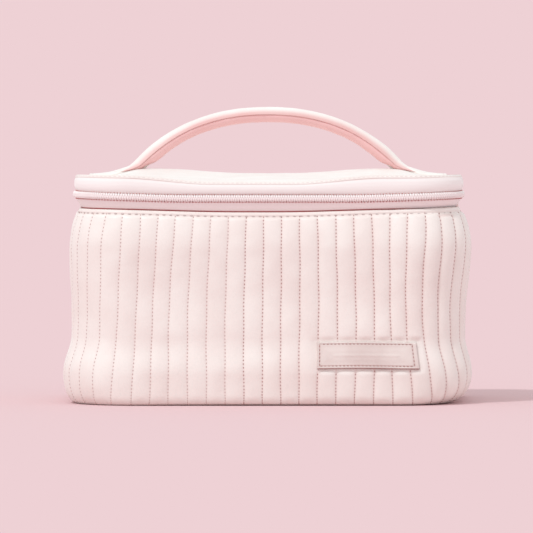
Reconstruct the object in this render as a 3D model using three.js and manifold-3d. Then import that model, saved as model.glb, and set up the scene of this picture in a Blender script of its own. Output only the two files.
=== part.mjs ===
// A soft makeup bag of quilted leathercloth: a box-shaped body on a flat base, a padded lid that opens
// on a hinge strip along the back, a coil zip round the other three sides and a rolled carrying handle.
// Millimetres. +X is the bag's right, -Y its front, +Z up. The origin is on the floor under its middle.
import * as THREE from "three";
import { mergeVertices } from "three/addons/utils/BufferGeometryUtils.js";
import Module from "manifold-3d";

const wasm = await Module();
wasm.setup();

// ---- Driving dimensions ----
const GAP = 0.3; // between two pieces that touch

// Body, seen from above at its mouth
const MOUTH_WIDTH = 242;
const MOUTH_DEPTH = 142;
const CORNER_RADIUS = 33;

// Body wall, seen from the front: how far its outer face stands out from the mouth, and at what height
const BODY_HEIGHT = 124.5; // floor to the folded rim
const BASE_TUCK = 9; // the wall's foot lies this far inside the mouth
const BASE_FLARE = 8.6; // the roll round the base
const ROLL_HEIGHT = 19;
const WAIST_FLARE = 3.6; // the hollow above the roll
const WAIST_HEIGHT = 44;
const SHOULDER_FLARE = 6; // the swelling below the rim
const SHOULDER_DROP = 23.5; // from the rim down to the widest part of the shoulder

// Sheet materials
const SKIN = 1.2; // leathercloth
const WADDING = 3.6;
const WADDING_FOOT = 5; // the wadding stops this far above the floor
const LINING = 0.6;
const BASE_BOARD = 1.5;
const BASE_FOAM = 3;
const BASE_FOAM_SPREAD = 3; // the foam's edge, outside the base seam
const BINDING = 2; // width of the tape that binds a seam's raw edges

// Zip
const ZIP_RISE = 7.5; // rim to the middle of the chain
const CHAIN_WIDTH = 4.8;
const CHAIN_THICKNESS = 1.8;
const CHAIN_SPLIT = 1.2; // between the two halves, where the slider's web passes
const TAPE = 0.6;
const TAPE_FLARE = 1.3; // the tape's outer face beside the chain, out from the mouth
const TAPE_SEAM = 9; // tape hidden behind the body's rim
const TAPE_TUCK = 1.2; // tape hidden behind the lid's edge
const CHAIN_END_ANGLE = 20; // degrees of the rear corner, before the hinge strip, with no chain

// Lid
const LID_BAND = 9.5; // middle of the chain to the lid's edge
const LID_FLARE = 1.8;
const LID_RISE = 5; // lid's edge to its top face
const LID_EDGE_RADIUS = 4;
const LID_FOAM = 2.4;
const LID_BOARD = 1.3;

// Handle
const HANDLE_SPAN = 163; // between the ends of its centre line, on the hinge line of its feet
const HANDLE_RISE = 31.9; // that line to the top of the centre line
const HANDLE_DIAMETER = 10;
const HANDLE_SHOULDER = 42; // pull of the curve at the top
const HANDLE_FOOT_PULL = 25.6; // pull of the curve at a foot
const HANDLE_FOOT_ANGLE = 52; // slope of the handle at a foot, in degrees
const FOOT_INSET = 8; // stub of the foot, inwards from the end of the centre line
const TAB_LENGTH = 30;
const TAB_WIDTH = 20;
const TAB_THICKNESS = 2.4;
const TAB_OVERLAP = 4; // stub of the foot, over the inner end of its tab

// Label patch on the front, by distance along the wall from the middle of the front
const PATCH_START = 32;
const PATCH_LENGTH = 66;
const PATCH_HEIGHT = 17;
const PATCH_MIDDLE = 32; // above the floor
const PATCH = 1.6;

// Zip slider and its pull
const SLIDER_ANGLE = 35; // where it is parked round the rear right corner, in degrees from the side
const SLIDER_LENGTH = 9;
const SLIDER_WIDTH = 8; // across the chain, at the front
const SLIDER_BACK_WIDTH = 5.6;
const SLIDER_PLATE = 1.2;
const SLIDER_BACK_PLATE = 1;
const SLIDER_PLAY = 0.9; // chain to the front plate
const SLIDER_BACK_PLAY = 1.1; // tape to the back plate
const WEB_LENGTH = 2.6;
const WEB = 0.6;
const BRIDGE_SPAN = 8;
const BRIDGE_POST = 1.2;
const BRIDGE_BAR = 1.2;
const BRIDGE_WIDTH = 1.2;
const BAIL_WIRE = 1.2;
const BAIL_PLAY = 0.6; // inside its bends
const BAIL_LENGTH = 5; // between the centres of its two bends
const PULL_LENGTH = 30;
const PULL_WIDTH = 9;
const PULL_THICKNESS = 1.4;
const PULL_HOLE = 3;
const PULL_EDGE = 1.4; // metal left above the hole

// Fineness of the curves
const NUDGE = 1e-3; // step for measuring a slope
const CORNER_STEPS = 6;
const ROLL_STEPS = 5;
const WALL_STEPS = 3;
const HANDLE_STEPS = 18;
const COVER_STEPS = 6;
const CORE_SIDES = 10;
const BAR_SIDES = 20;
const BAIL_STEPS = 8;

// ---- Levels and offsets worked out from them ----
const HALF_WIDTH = MOUTH_WIDTH / 2;
const HALF_DEPTH = MOUTH_DEPTH / 2;
const STRAIGHT_X = HALF_WIDTH - CORNER_RADIUS; // half of the straight run of the front
const STRAIGHT_Y = HALF_DEPTH - CORNER_RADIUS;
const CORNER_ARC = (Math.PI / 2) * CORNER_RADIUS;
const WRAP_END = STRAIGHT_X + CORNER_ARC + 2 * STRAIGHT_Y + CORNER_ARC; // front middle to the hinge strip
const CHAIN_END = WRAP_END - THREE.MathUtils.degToRad(CHAIN_END_ANGLE) * CORNER_RADIUS;
const BACK_HALF = STRAIGHT_X - GAP; // half of the back panel and the hinge strip
const SHOULDER_Z = BODY_HEIGHT - SHOULDER_DROP;
const PATCH_FOOT_Z = PATCH_MIDDLE - PATCH_HEIGHT / 2;

const ZIP_Z = BODY_HEIGHT + ZIP_RISE;
const LID_EDGE_Z = ZIP_Z + LID_BAND;
const LID_TOP_Z = LID_EDGE_Z + LID_RISE;
const HANDLE_PIVOT_Z = LID_TOP_Z + HANDLE_DIAMETER / 2 + 2 * GAP;
const BASE_FOAM_Z = SKIN + GAP + BASE_BOARD + GAP;
const BASE_LINING_Z = BASE_FOAM_Z + BASE_FOAM + GAP;
const INNER_FLOOR_Z = BASE_LINING_Z + LINING;

const BEHIND_RIM = SKIN + GAP; // outer face of the tape, in from the body's rim
const BEHIND_TAPE = BEHIND_RIM + TAPE + GAP;
const BEHIND_WADDING = SKIN + GAP + WADDING + GAP - WAIST_FLARE;
const LINING_OFFSET = -Math.max(BEHIND_TAPE, BEHIND_WADDING);
const BASE_SEAM = -BASE_TUCK - GAP;
const LID_INNER = LID_FLARE - SKIN - GAP; // outer face of what tucks behind the lid's edge
const BACK_INNER = LID_INNER - SKIN - GAP; // outer edge of what lies inside the lid's back band
const HINGE_FACE = LID_INNER + GAP + SKIN; // outer face of the hinge strip
const HINGE_Y = HALF_DEPTH + HINGE_FACE + GAP;

// ---- Finishes ----
function finish(color, roughness, metalness = 0) {
  return new THREE.MeshStandardMaterial({ color, roughness, metalness });
}
const leathercloth = finish(0xf7dedb, 0.48);
const foam = finish(0xf2ece6, 0.95);
const board = finish(0xd8cfc6, 0.85);
const satin = finish(0xf0cfcd, 0.55);
const webbing = finish(0xe9cccb, 0.9);
const nylon = finish(0xf4dcda, 0.4);
const metal = finish(0xeccac7, 0.3, 0.6);

// ---- Shape helpers ----

// A point of the mouth's outline and its outward normal, at a distance along the wall from the
// middle of the front: positive round the right side, negative round the left.
function stationAt(distance) {
  const side = distance < 0 ? -1 : 1;
  let rest = Math.abs(distance);
  if (rest <= STRAIGHT_X) return station(side, rest, -HALF_DEPTH, 0, -1);
  rest -= STRAIGHT_X;
  if (rest <= CORNER_ARC) return cornerStation(side, -1, Math.PI / 2 - rest / CORNER_RADIUS);
  rest -= CORNER_ARC;
  if (rest <= 2 * STRAIGHT_Y) return station(side, HALF_WIDTH, rest - STRAIGHT_Y, 1, 0);
  rest -= 2 * STRAIGHT_Y;
  if (rest <= CORNER_ARC) return cornerStation(side, 1, rest / CORNER_RADIUS);
  rest -= CORNER_ARC;
  return station(side, STRAIGHT_X - rest, HALF_DEPTH, 0, 1);
}

function station(side, x, y, nx, ny) {
  return { x: side * x, y, nx: side * nx, ny };
}

function cornerStation(side, rear, angle) {
  const nx = Math.cos(angle);
  const ny = rear * Math.sin(angle);
  return station(side, STRAIGHT_X + CORNER_RADIUS * nx, rear * STRAIGHT_Y + CORNER_RADIUS * ny, nx, ny);
}

// Stations from one distance to another: both ends, and every bend of the outline between them.
function run(from, to) {
  const bends = [];
  for (const start of [STRAIGHT_X, STRAIGHT_X + CORNER_ARC + 2 * STRAIGHT_Y])
    for (let i = 0; i <= CORNER_STEPS; i++) bends.push(start + (CORNER_ARC * i) / CORNER_STEPS);
  const between = [...bends, ...bends.map((d) => -d)].filter((d) => d > from + 1e-6 && d < to - 1e-6);
  return [from, ...between.sort((a, b) => a - b), to].map(stationAt);
}

function backRun(half) {
  return [half, -half].map((x) => ({ x, y: HALF_DEPTH, nx: 0, ny: 1 }));
}

const WRAP = run(-WRAP_END, WRAP_END);

// A closed mesh, with its faces turned outwards.
function bodyOf(points, faces) {
  const geometry = new THREE.BufferGeometry();
  geometry.setAttribute("position", new THREE.Float32BufferAttribute(points.flat(), 3));
  const [a, b, c] = [new THREE.Vector3(), new THREE.Vector3(), new THREE.Vector3()];
  let volume = 0;
  for (const [i, j, k] of faces)
    volume += a.fromArray(points[i]).dot(b.fromArray(points[j]).cross(c.fromArray(points[k])));
  geometry.setIndex(faces.flatMap(([i, j, k]) => (volume < 0 ? [i, k, j] : [i, j, k])));
  return geometry;
}

// Joins rings of points, each a copy of one outline, into a body. An open run gets end caps.
function loft(rings, outline, closed = false) {
  const n = outline.length;
  const spans = closed ? rings.length : rings.length - 1;
  const faces = [];
  for (let i = 0; i < spans; i++)
    for (let j = 0; j < n; j++) {
      const [a, b, next] = [i * n, ((i + 1) % rings.length) * n, (j + 1) % n];
      faces.push([a + j, a + next, b + next], [a + j, b + next, b + j]);
    }
  if (!closed) {
    const flat = outline.map(([u, v]) => new THREE.Vector2(u, v));
    const forward = THREE.ShapeUtils.isClockWise(flat);
    const last = spans * n;
    for (const [i, j, k] of THREE.ShapeUtils.triangulateShape(flat, [])) {
      const [p, q, r] = forward ? [i, j, k] : [i, k, j];
      faces.push([p, q, r], [last + p, last + r, last + q]);
    }
  }
  return bodyOf(rings.flat(), faces);
}

// Sweeps a section, a list of [offset, height], along stations.
function sweep(section, stations, closed = false) {
  const rings = stations.map((s) => section.map(([o, z]) => [s.x + s.nx * o, s.y + s.ny * o, z]));
  return loft(rings, section, closed);
}

// Stacks the mouth's outline at a list of [offset, height] levels into one solid with flat ends.
function stack(levels) {
  const rings = levels.map(([o, z]) => WRAP.map((s) => [s.x + s.nx * o, s.y + s.ny * o, z]));
  return loft(rings, rings[0]);
}

function plate(offset, low, thickness) {
  return stack([[offset, low], [offset, low + thickness]]);
}

// A band of the given thickness whose outer face runs up through a list of [offset, height].
function strip(outer, thickness) {
  return [...outer, ...outer.map(([o, z]) => [o - thickness, z]).reverse()];
}

function solidOf(geometry) {
  const plain = geometry.index ? geometry.clone() : geometry;
  plain.deleteAttribute("normal");
  plain.deleteAttribute("uv");
  const merged = mergeVertices(plain, 1e-4);
  const vertProperties = new Float32Array(merged.getAttribute("position").array);
  return new wasm.Manifold(new wasm.Mesh({ numProp: 3, vertProperties, triVerts: new Uint32Array(merged.index.array) }));
}

function geometryOf(solid) {
  const { vertProperties, triVerts } = solid.getMesh();
  const geometry = new THREE.BufferGeometry();
  geometry.setAttribute("position", new THREE.BufferAttribute(vertProperties, 3));
  geometry.setIndex(new THREE.BufferAttribute(triVerts, 1));
  return geometry;
}

function cut(geometry, ...tools) {
  return geometryOf(tools.reduce((solid, tool) => solid.subtract(solidOf(tool)), solidOf(geometry)));
}

function join(...pieces) {
  return geometryOf(pieces.map(solidOf).reduce((all, solid) => all.add(solid)));
}

// A box between two corners.
function block([x0, y0, z0], [x1, y1, z1]) {
  return new THREE.BoxGeometry(x1 - x0, y1 - y0, z1 - z0).translate((x0 + x1) / 2, (y0 + y1) / 2, (z0 + z1) / 2);
}

function roundedShape(width, height, radius) {
  const [w, h] = [width / 2 - radius, height / 2 - radius];
  const shape = new THREE.Shape();
  shape.absarc(w, h, radius, 0, Math.PI / 2);
  shape.absarc(-w, h, radius, Math.PI / 2, Math.PI);
  shape.absarc(-w, -h, radius, Math.PI, 1.5 * Math.PI);
  shape.absarc(w, -h, radius, 1.5 * Math.PI, 2 * Math.PI);
  return shape;
}

// A sheet cut to a shape drawn in X and Z, with its thickness along Y from the given face.
function sheetXZ(shape, face, thickness, curveSegments = 4) {
  const flat = new THREE.ExtrudeGeometry(shape, { depth: thickness, bevelEnabled: false, curveSegments });
  return flat.rotateX(Math.PI / 2).translate(0, face + thickness, 0);
}

// ---- Body wall ----

function ease(share) {
  return (1 - Math.cos(Math.PI * share)) / 2;
}

// How far the wall's outer face stands out from the mouth's outline at a height.
function wallOffset(z) {
  if (z < ROLL_HEIGHT) {
    const drop = (ROLL_HEIGHT - z) / ROLL_HEIGHT;
    return -BASE_TUCK + (BASE_TUCK + BASE_FLARE) * Math.sqrt(Math.max(0, 1 - drop * drop));
  }
  if (z < WAIST_HEIGHT) {
    return BASE_FLARE + (WAIST_FLARE - BASE_FLARE) * ease((z - ROLL_HEIGHT) / (WAIST_HEIGHT - ROLL_HEIGHT));
  }
  if (z < SHOULDER_Z) {
    return WAIST_FLARE + (SHOULDER_FLARE - WAIST_FLARE) * ease((z - WAIST_HEIGHT) / (SHOULDER_Z - WAIST_HEIGHT));
  }
  const climb = (z - SHOULDER_Z) / SHOULDER_DROP;
  return SHOULDER_FLARE * Math.sqrt(Math.max(0, 1 - climb * climb));
}

// The heights at which every layer of the wall bends.
function wallHeights() {
  const along = (count, place) => Array.from({ length: count }, (_, i) => place((i + 1) / count));
  const quarter = Math.PI / 2;
  const heights = [
    0,
    ...along(ROLL_STEPS, (share) => ROLL_HEIGHT * (1 - Math.cos(quarter * share))),
    ...along(WALL_STEPS, (share) => ROLL_HEIGHT + (WAIST_HEIGHT - ROLL_HEIGHT) * share),
    ...along(WALL_STEPS, (share) => WAIST_HEIGHT + (SHOULDER_Z - WAIST_HEIGHT) * share),
    ...along(WALL_STEPS, (share) => SHOULDER_Z + SHOULDER_DROP * Math.sin(quarter * share)),
    PATCH_FOOT_Z,
    PATCH_FOOT_Z + PATCH_HEIGHT,
  ];
  return [...new Set(heights)].sort((a, b) => a - b);
}

// The point at a depth below the wall's outer face, square to it.
function wallPoint(z, depth) {
  const [low, high] = [Math.max(z - NUDGE, 0), Math.min(z + NUDGE, BODY_HEIGHT)];
  const lean = wallOffset(high) - wallOffset(low);
  const length = Math.hypot(high - low, lean);
  const rim = z === BODY_HEIGHT;
  const [out, up] = rim ? [1, 0] : [(high - low) / length, -lean / length];
  return [wallOffset(z) - out * depth, z - up * depth];
}

// A layer of the wall between two depths below its outer face, at the bends from one height to another.
function wallLayer(near, far, low, high) {
  const heights = wallHeights().filter((z) => z >= low && z <= high);
  return [...heights.map((z) => wallPoint(z, near)), ...heights.map((z) => wallPoint(z, far)).reverse()];
}

const skinSection = wallLayer(0, SKIN, 0, BODY_HEIGHT);
const waddingTop = BODY_HEIGHT - TAPE_SEAM - GAP;
const waddingSection = wallLayer(SKIN + GAP, SKIN + GAP + WADDING, WADDING_FOOT, waddingTop);

// The back panel is one sheet with a flap that rises past the rim to the hinge line.
function backSection() {
  const half = skinSection.length / 2;
  const flapTop = ZIP_Z - GAP;
  const flap = [[LID_INNER, flapTop], [LID_INNER - SKIN, flapTop]];
  return [...skinSection.slice(0, half), ...flap, ...skinSection.slice(half)];
}

// ---- Zip ----

function lowerTapeSection() {
  const chainFoot = ZIP_Z - CHAIN_WIDTH / 2 - GAP;
  const outer = [
    [-BEHIND_RIM, BODY_HEIGHT - TAPE_SEAM],
    [-BEHIND_RIM, BODY_HEIGHT],
    [TAPE_FLARE, chainFoot],
    [TAPE_FLARE, ZIP_Z - CHAIN_SPLIT / 2],
  ];
  return strip(outer, TAPE);
}

function upperTapeSection() {
  const outer = [
    [TAPE_FLARE, ZIP_Z + CHAIN_SPLIT / 2],
    [TAPE_FLARE, ZIP_Z + CHAIN_WIDTH / 2 + GAP],
    [LID_INNER, LID_EDGE_Z - GAP],
    [LID_INNER, LID_EDGE_Z + TAPE_TUCK],
  ];
  return strip(outer, TAPE);
}

// Half of the chain, above or below its middle: a strip with its outer edges rounded off.
function chainSection(up) {
  const face = TAPE_FLARE + GAP;
  const round = CHAIN_THICKNESS / 3;
  const near = CHAIN_SPLIT / 2;
  const far = CHAIN_WIDTH / 2;
  return [
    [face, near],
    [face + CHAIN_THICKNESS - round, near],
    [face + CHAIN_THICKNESS, near + round],
    [face + CHAIN_THICKNESS, far - round],
    [face + CHAIN_THICKNESS - round, far],
    [face, far],
  ].map(([o, z]) => [o, ZIP_Z + up * z]);
}

// ---- Lid ----

function lidTray() {
  const rounded = (offset, top, radius) => {
    return Array.from({ length: WALL_STEPS + 1 }, (_, i) => {
      const angle = (Math.PI / 2) * (i / WALL_STEPS);
      return [offset - radius * (1 - Math.cos(angle)), top - radius * (1 - Math.sin(angle))];
    });
  };
  const innerRadius = Math.max(LID_EDGE_RADIUS - SKIN, 0.5);
  const below = LID_EDGE_Z - 1;
  const outer = stack([[LID_FLARE, LID_EDGE_Z], ...rounded(LID_FLARE, LID_TOP_Z, LID_EDGE_RADIUS)]);
  const inner = stack([[LID_FLARE - SKIN, below], ...rounded(LID_FLARE - SKIN, LID_TOP_Z - SKIN, innerRadius)]);
  return cut(outer, inner);
}

// ---- Handle ----

// The centre line: up from the left foot, over the top and down to the right one.
function handlePath() {
  const half = HANDLE_SPAN / 2;
  const slope = THREE.MathUtils.degToRad(HANDLE_FOOT_ANGLE);
  const [inwards, up] = [HANDLE_FOOT_PULL * Math.cos(slope), HANDLE_FOOT_PULL * Math.sin(slope)];
  const at = (x, z) => new THREE.Vector3(x, 0, z);
  const topZ = HANDLE_PIVOT_Z + HANDLE_RISE;
  const path = new THREE.CurvePath();
  path.add(new THREE.CubicBezierCurve3(
    at(-half, HANDLE_PIVOT_Z), at(-half + inwards, HANDLE_PIVOT_Z + up), at(-HANDLE_SHOULDER, topZ), at(0, topZ),
  ));
  path.add(new THREE.CubicBezierCurve3(
    at(0, topZ), at(HANDLE_SHOULDER, topZ), at(half - inwards, HANDLE_PIVOT_Z + up), at(half, HANDLE_PIVOT_Z),
  ));
  return path;
}

// Sweeps a section, a list of [sideways, outwards], along the handle's centre line.
function alongHandle(section) {
  const path = handlePath();
  const rings = Array.from({ length: HANDLE_STEPS + 1 }, (_, i) => {
    const middle = path.getPointAt(i / HANDLE_STEPS);
    const tangent = path.getTangentAt(i / HANDLE_STEPS);
    return section.map(([y, out]) => [middle.x - tangent.z * out, y, middle.z + tangent.x * out]);
  });
  return loft(rings, section);
}

// Half of the handle's cover, outside (1) or underneath (-1), open by a gap where the two are sewn.
function coverSection(outside) {
  const radius = HANDLE_DIAMETER / 2;
  const arc = (r) => {
    const start = Math.asin(GAP / 2 / r);
    return Array.from({ length: COVER_STEPS + 1 }, (_, i) => {
      const angle = start + ((Math.PI - 2 * start) * i) / COVER_STEPS;
      return [r * Math.cos(angle), outside * r * Math.sin(angle)];
    });
  };
  return [...arc(radius), ...arc(radius - SKIN).reverse()];
}

function circle(radius, sides) {
  return Array.from({ length: sides }, (_, i) => {
    const angle = (2 * Math.PI * i) / sides;
    return [radius * Math.cos(angle), radius * Math.sin(angle)];
  });
}

// A round bar along X, centred on the hinge line of the handle's feet.
function pivotBar(radius, fromX, toX) {
  const bar = new THREE.CylinderGeometry(radius, radius, Math.abs(toX - fromX), BAR_SIDES).rotateZ(Math.PI / 2);
  return bar.translate((fromX + toX) / 2, 0, HANDLE_PIVOT_Z);
}

// The handle bends at its feet, so each end of it is hollowed to turn round the stub of its tab.
function handlePiece(section) {
  const half = HANDLE_SPAN / 2;
  const clear = HANDLE_DIAMETER / 2 + GAP;
  const reach = HANDLE_DIAMETER;
  const tools = [-1, 1].map((side) => pivotBar(clear, side * (half - 2 * reach), side * (half + reach)));
  return cut(alongHandle(section), ...tools);
}

// A tab sewn flat on the lid, with the stub that the handle rises from.
function handleTab(side) {
  const half = HANDLE_SPAN / 2;
  const low = LID_TOP_Z + GAP;
  const start = half + HANDLE_DIAMETER / 2;
  const shape = roundedShape(TAB_LENGTH, TAB_WIDTH, TAB_WIDTH / 4);
  const flat = new THREE.ExtrudeGeometry(shape, { depth: TAB_THICKNESS, bevelEnabled: false, curveSegments: 4 });
  flat.translate(side * (start + TAB_LENGTH / 2), 0, low);
  const stub = pivotBar(HANDLE_DIAMETER / 2, side * (half - FOOT_INSET), side * (start + TAB_OVERLAP));
  return join(flat, stub);
}

// ---- Slider and pull, at the slider's own place: X outwards from the chain, Y along it ----

const BAR_OUT = BAIL_PLAY + BAIL_WIRE + GAP; // slider's plate to the bar
const BAIL_BEND = BRIDGE_BAR / 2 + BAIL_PLAY + BAIL_WIRE / 2;
const PLATE_FACE = TAPE_FLARE + GAP + CHAIN_THICKNESS + SLIDER_PLAY + SLIDER_PLATE;
const BAR_MIDDLE = PLATE_FACE + BAR_OUT + BRIDGE_BAR / 2;

function sliderBody() {
  const halfLength = SLIDER_LENGTH / 2;
  const asPlate = (width, face, thickness) => {
    const outline = roundedShape(SLIDER_LENGTH, width, SLIDER_WIDTH / 4);
    return sheetXZ(outline, 0, thickness).rotateZ(-Math.PI / 2).translate(face, 0, 0);
  };
  const backFace = TAPE_FLARE - TAPE - SLIDER_BACK_PLAY;
  const front = asPlate(SLIDER_WIDTH, PLATE_FACE - SLIDER_PLATE, SLIDER_PLATE);
  const back = asPlate(SLIDER_BACK_WIDTH, backFace - SLIDER_BACK_PLATE, SLIDER_BACK_PLATE);
  const sink = SLIDER_BACK_PLATE / 2;
  const web = block(
    [backFace - sink, halfLength - WEB_LENGTH - 0.5, -WEB / 2],
    [PLATE_FACE - SLIDER_PLATE + sink, halfLength - 0.5, WEB / 2],
  );
  const halfWide = BRIDGE_WIDTH / 2;
  const barFoot = BAR_MIDDLE - BRIDGE_BAR / 2;
  const posts = [-1, 1].map((end) => {
    const outer = (end * BRIDGE_SPAN) / 2;
    const inner = outer - end * BRIDGE_POST;
    const [low, high] = [Math.min(outer, inner), Math.max(outer, inner)];
    return block([PLATE_FACE - sink, low, -halfWide], [barFoot + BRIDGE_BAR / 2, high, halfWide]);
  });
  const bar = block([barFoot, -BRIDGE_SPAN / 2, -halfWide], [barFoot + BRIDGE_BAR, BRIDGE_SPAN / 2, halfWide]);
  return join(front, back, web, ...posts, bar);
}

// A wire link that hangs from the bar, in the plane square to the chain.
function bail() {
  const centres = [0, -BAIL_LENGTH].flatMap((z, end) => {
    return Array.from({ length: BAIL_STEPS + 1 }, (_, i) => [z, Math.PI * (end + i / BAIL_STEPS)]);
  });
  const wire = circle(BAIL_WIRE / 2, BAIL_STEPS);
  const rings = centres.map(([z, angle]) => {
    return wire.map(([out, y]) => {
      return [BAR_MIDDLE + (BAIL_BEND + out) * Math.cos(angle), y, z + (BAIL_BEND + out) * Math.sin(angle)];
    });
  });
  return loft(rings, wire, true);
}

function pullTab() {
  const holeZ = -BAIL_LENGTH - BAIL_BEND + BAIL_WIRE / 2 + BAIL_PLAY - PULL_HOLE / 2;
  const top = holeZ + PULL_HOLE / 2 + PULL_EDGE;
  const neck = PULL_WIDTH * 0.32;
  const wide = PULL_WIDTH / 2;
  const foot = top - PULL_LENGTH;
  const shoulder = [holeZ - PULL_HOLE, holeZ - 2 * PULL_HOLE, holeZ - 3 * PULL_HOLE];
  const shape = new THREE.Shape();
  shape.moveTo(-neck, shoulder[0]);
  shape.absarc(0, top - neck, neck, Math.PI, 0, true);
  shape.lineTo(neck, shoulder[0]);
  shape.bezierCurveTo(neck, shoulder[1], wide, shoulder[1], wide, shoulder[2]);
  shape.absarc(0, foot + wide, wide, 0, Math.PI, true);
  shape.lineTo(-wide, shoulder[2]);
  shape.bezierCurveTo(-wide, shoulder[1], -neck, shoulder[1], -neck, shoulder[0]);
  const tab = sheetXZ(shape, -PULL_THICKNESS / 2, PULL_THICKNESS, 6);
  const hole = new THREE.CylinderGeometry(PULL_HOLE / 2, PULL_HOLE / 2, 2 * PULL_THICKNESS, 16);
  return cut(tab, hole.translate(0, 0, holeZ)).rotateZ(-Math.PI / 2).translate(BAR_MIDDLE, 0, 0);
}

// ---- The assembly ----

const bag = new THREE.Group();

function add(name, geometry, material, parent = bag) {
  const mesh = new THREE.Mesh(geometry, material);
  mesh.name = name;
  parent.add(mesh);
}

function addBase() {
  add("base_panel", plate(BASE_SEAM, 0, SKIN), leathercloth);
  add("base_board", plate(BASE_SEAM, SKIN + GAP, BASE_BOARD), board);
  add("base_foam", plate(BASE_SEAM + BASE_FOAM_SPREAD, BASE_FOAM_Z, BASE_FOAM), foam);
  add("base_lining", plate(LINING_OFFSET, BASE_LINING_Z, LINING), satin);
  const outer = BASE_SEAM + BASE_FOAM_SPREAD + GAP;
  const seamBinding = strip([[outer + BINDING, BASE_FOAM_Z + 1], [outer + BINDING, BASE_LINING_Z - GAP]], BINDING);
  add("base_binding", sweep(seamBinding, WRAP, true), webbing);
}

function addWalls() {
  add("quilted_skin", sweep(skinSection, WRAP), leathercloth);
  add("wall_wadding", sweep(waddingSection, WRAP), foam);
  add("back_panel", sweep(backSection(), backRun(BACK_HALF)), leathercloth);
  add("back_wadding", sweep(waddingSection, backRun(BACK_HALF)), foam);
  const low = INNER_FLOOR_Z + GAP;
  const lining = strip([[LINING_OFFSET, low], [LINING_OFFSET, BODY_HEIGHT - 1]], LINING);
  add("wall_lining", sweep(lining, WRAP, true), satin);
  const patch = wallLayer(-GAP, -GAP - PATCH, PATCH_FOOT_Z, PATCH_FOOT_Z + PATCH_HEIGHT);
  add("label_patch", sweep(patch, run(PATCH_START, PATCH_START + PATCH_LENGTH)), leathercloth);
}

function addZip() {
  add("zip_tape_lower", sweep(lowerTapeSection(), WRAP), webbing);
  add("zip_tape_upper", sweep(upperTapeSection(), WRAP), webbing);
  add("zip_coil_lower", sweep(chainSection(-1), run(-CHAIN_END, CHAIN_END)), nylon);
  add("zip_coil_upper", sweep(chainSection(1), run(-CHAIN_END, CHAIN_END)), nylon);
}

function addLid() {
  add("lid_top_panel", lidTray(), leathercloth);
  const foamTop = LID_TOP_Z - SKIN - GAP;
  const boardTop = foamTop - LID_FOAM - GAP;
  const liningTop = boardTop - LID_BOARD - GAP;
  add("lid_foam", plate(LID_FLARE - LID_EDGE_RADIUS - GAP, foamTop - LID_FOAM, LID_FOAM), foam);
  add("lid_board", plate(BACK_INNER, boardTop - LID_BOARD, LID_BOARD), board);
  add("lid_lining", plate(BACK_INNER, liningTop - LINING, LINING), satin);
  const bindingTop = liningTop - LINING - GAP;
  const seamBinding = strip([[BACK_INNER, bindingTop - BINDING], [BACK_INNER, bindingTop]], SKIN);
  add("lid_binding", sweep(seamBinding, WRAP, true), webbing);
  const band = strip([[LID_INNER, ZIP_Z + GAP], [LID_INNER, LID_EDGE_Z + TAPE_TUCK]], SKIN);
  add("lid_back_band", sweep(band, backRun(BACK_HALF)), leathercloth);
}

function addHinge() {
  const lower = strip([[HINGE_FACE, BODY_HEIGHT], [HINGE_FACE, ZIP_Z - GAP]], SKIN);
  const upper = strip([[HINGE_FACE, ZIP_Z + GAP], [HINGE_FACE, LID_EDGE_Z - GAP]], SKIN);
  add("hinge_strip_lower", sweep(lower, backRun(BACK_HALF)), leathercloth);
  add("hinge_strip_upper", sweep(upper, backRun(BACK_HALF)), leathercloth);
}

function addHandle() {
  add("handle_cover_outer", handlePiece(coverSection(1)), leathercloth);
  add("handle_cover_inner", handlePiece(coverSection(-1)), leathercloth);
  add("handle_core", handlePiece(circle(HANDLE_DIAMETER / 2 - SKIN - GAP, CORE_SIDES)), foam);
  add("handle_tab_left", handleTab(-1), leathercloth);
  add("handle_tab_right", handleTab(1), leathercloth);
}

function addSlider() {
  const place = new THREE.Group();
  const angle = THREE.MathUtils.degToRad(SLIDER_ANGLE);
  const at = cornerStation(1, 1, angle);
  place.position.set(at.x, at.y, ZIP_Z);
  place.rotation.z = angle;
  add("zip_slider", sliderBody(), metal, place);
  add("pull_bail", bail(), metal, place);
  add("pull_tab", pullTab(), metal, place);
  bag.add(place);
}

addBase();
addWalls();
addZip();
addLid();
addHinge();
addHandle();
addSlider();

export { HINGE_Y, ZIP_Z, LID_TOP_Z };
export default bag;
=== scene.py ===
"""Looks of the makeup bag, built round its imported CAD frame.

Shapes are worked out in millimetres, in the frame's own axes, and scaled once when a mesh is made.
A place on the wall is given by its distance along the mouth's outline from the middle of the front,
its height, and how far it stands out from that outline.
"""

import math

import bmesh
import bpy
import numpy as np
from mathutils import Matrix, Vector


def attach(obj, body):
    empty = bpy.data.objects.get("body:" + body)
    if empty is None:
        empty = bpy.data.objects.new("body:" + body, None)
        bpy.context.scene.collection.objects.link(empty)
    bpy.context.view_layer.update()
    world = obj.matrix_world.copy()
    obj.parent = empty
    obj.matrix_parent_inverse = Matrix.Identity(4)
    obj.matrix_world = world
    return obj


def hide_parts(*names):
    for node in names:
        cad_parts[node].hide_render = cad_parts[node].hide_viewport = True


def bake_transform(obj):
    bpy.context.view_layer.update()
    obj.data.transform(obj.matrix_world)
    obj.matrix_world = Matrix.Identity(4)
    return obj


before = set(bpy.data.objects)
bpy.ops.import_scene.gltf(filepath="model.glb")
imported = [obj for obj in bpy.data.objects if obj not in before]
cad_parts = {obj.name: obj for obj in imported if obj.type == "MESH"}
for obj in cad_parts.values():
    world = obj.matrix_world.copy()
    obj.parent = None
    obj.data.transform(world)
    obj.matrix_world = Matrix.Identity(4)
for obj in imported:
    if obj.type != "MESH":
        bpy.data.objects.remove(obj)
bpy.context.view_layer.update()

MM = 0.001
TURN = 2 * math.pi

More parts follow.
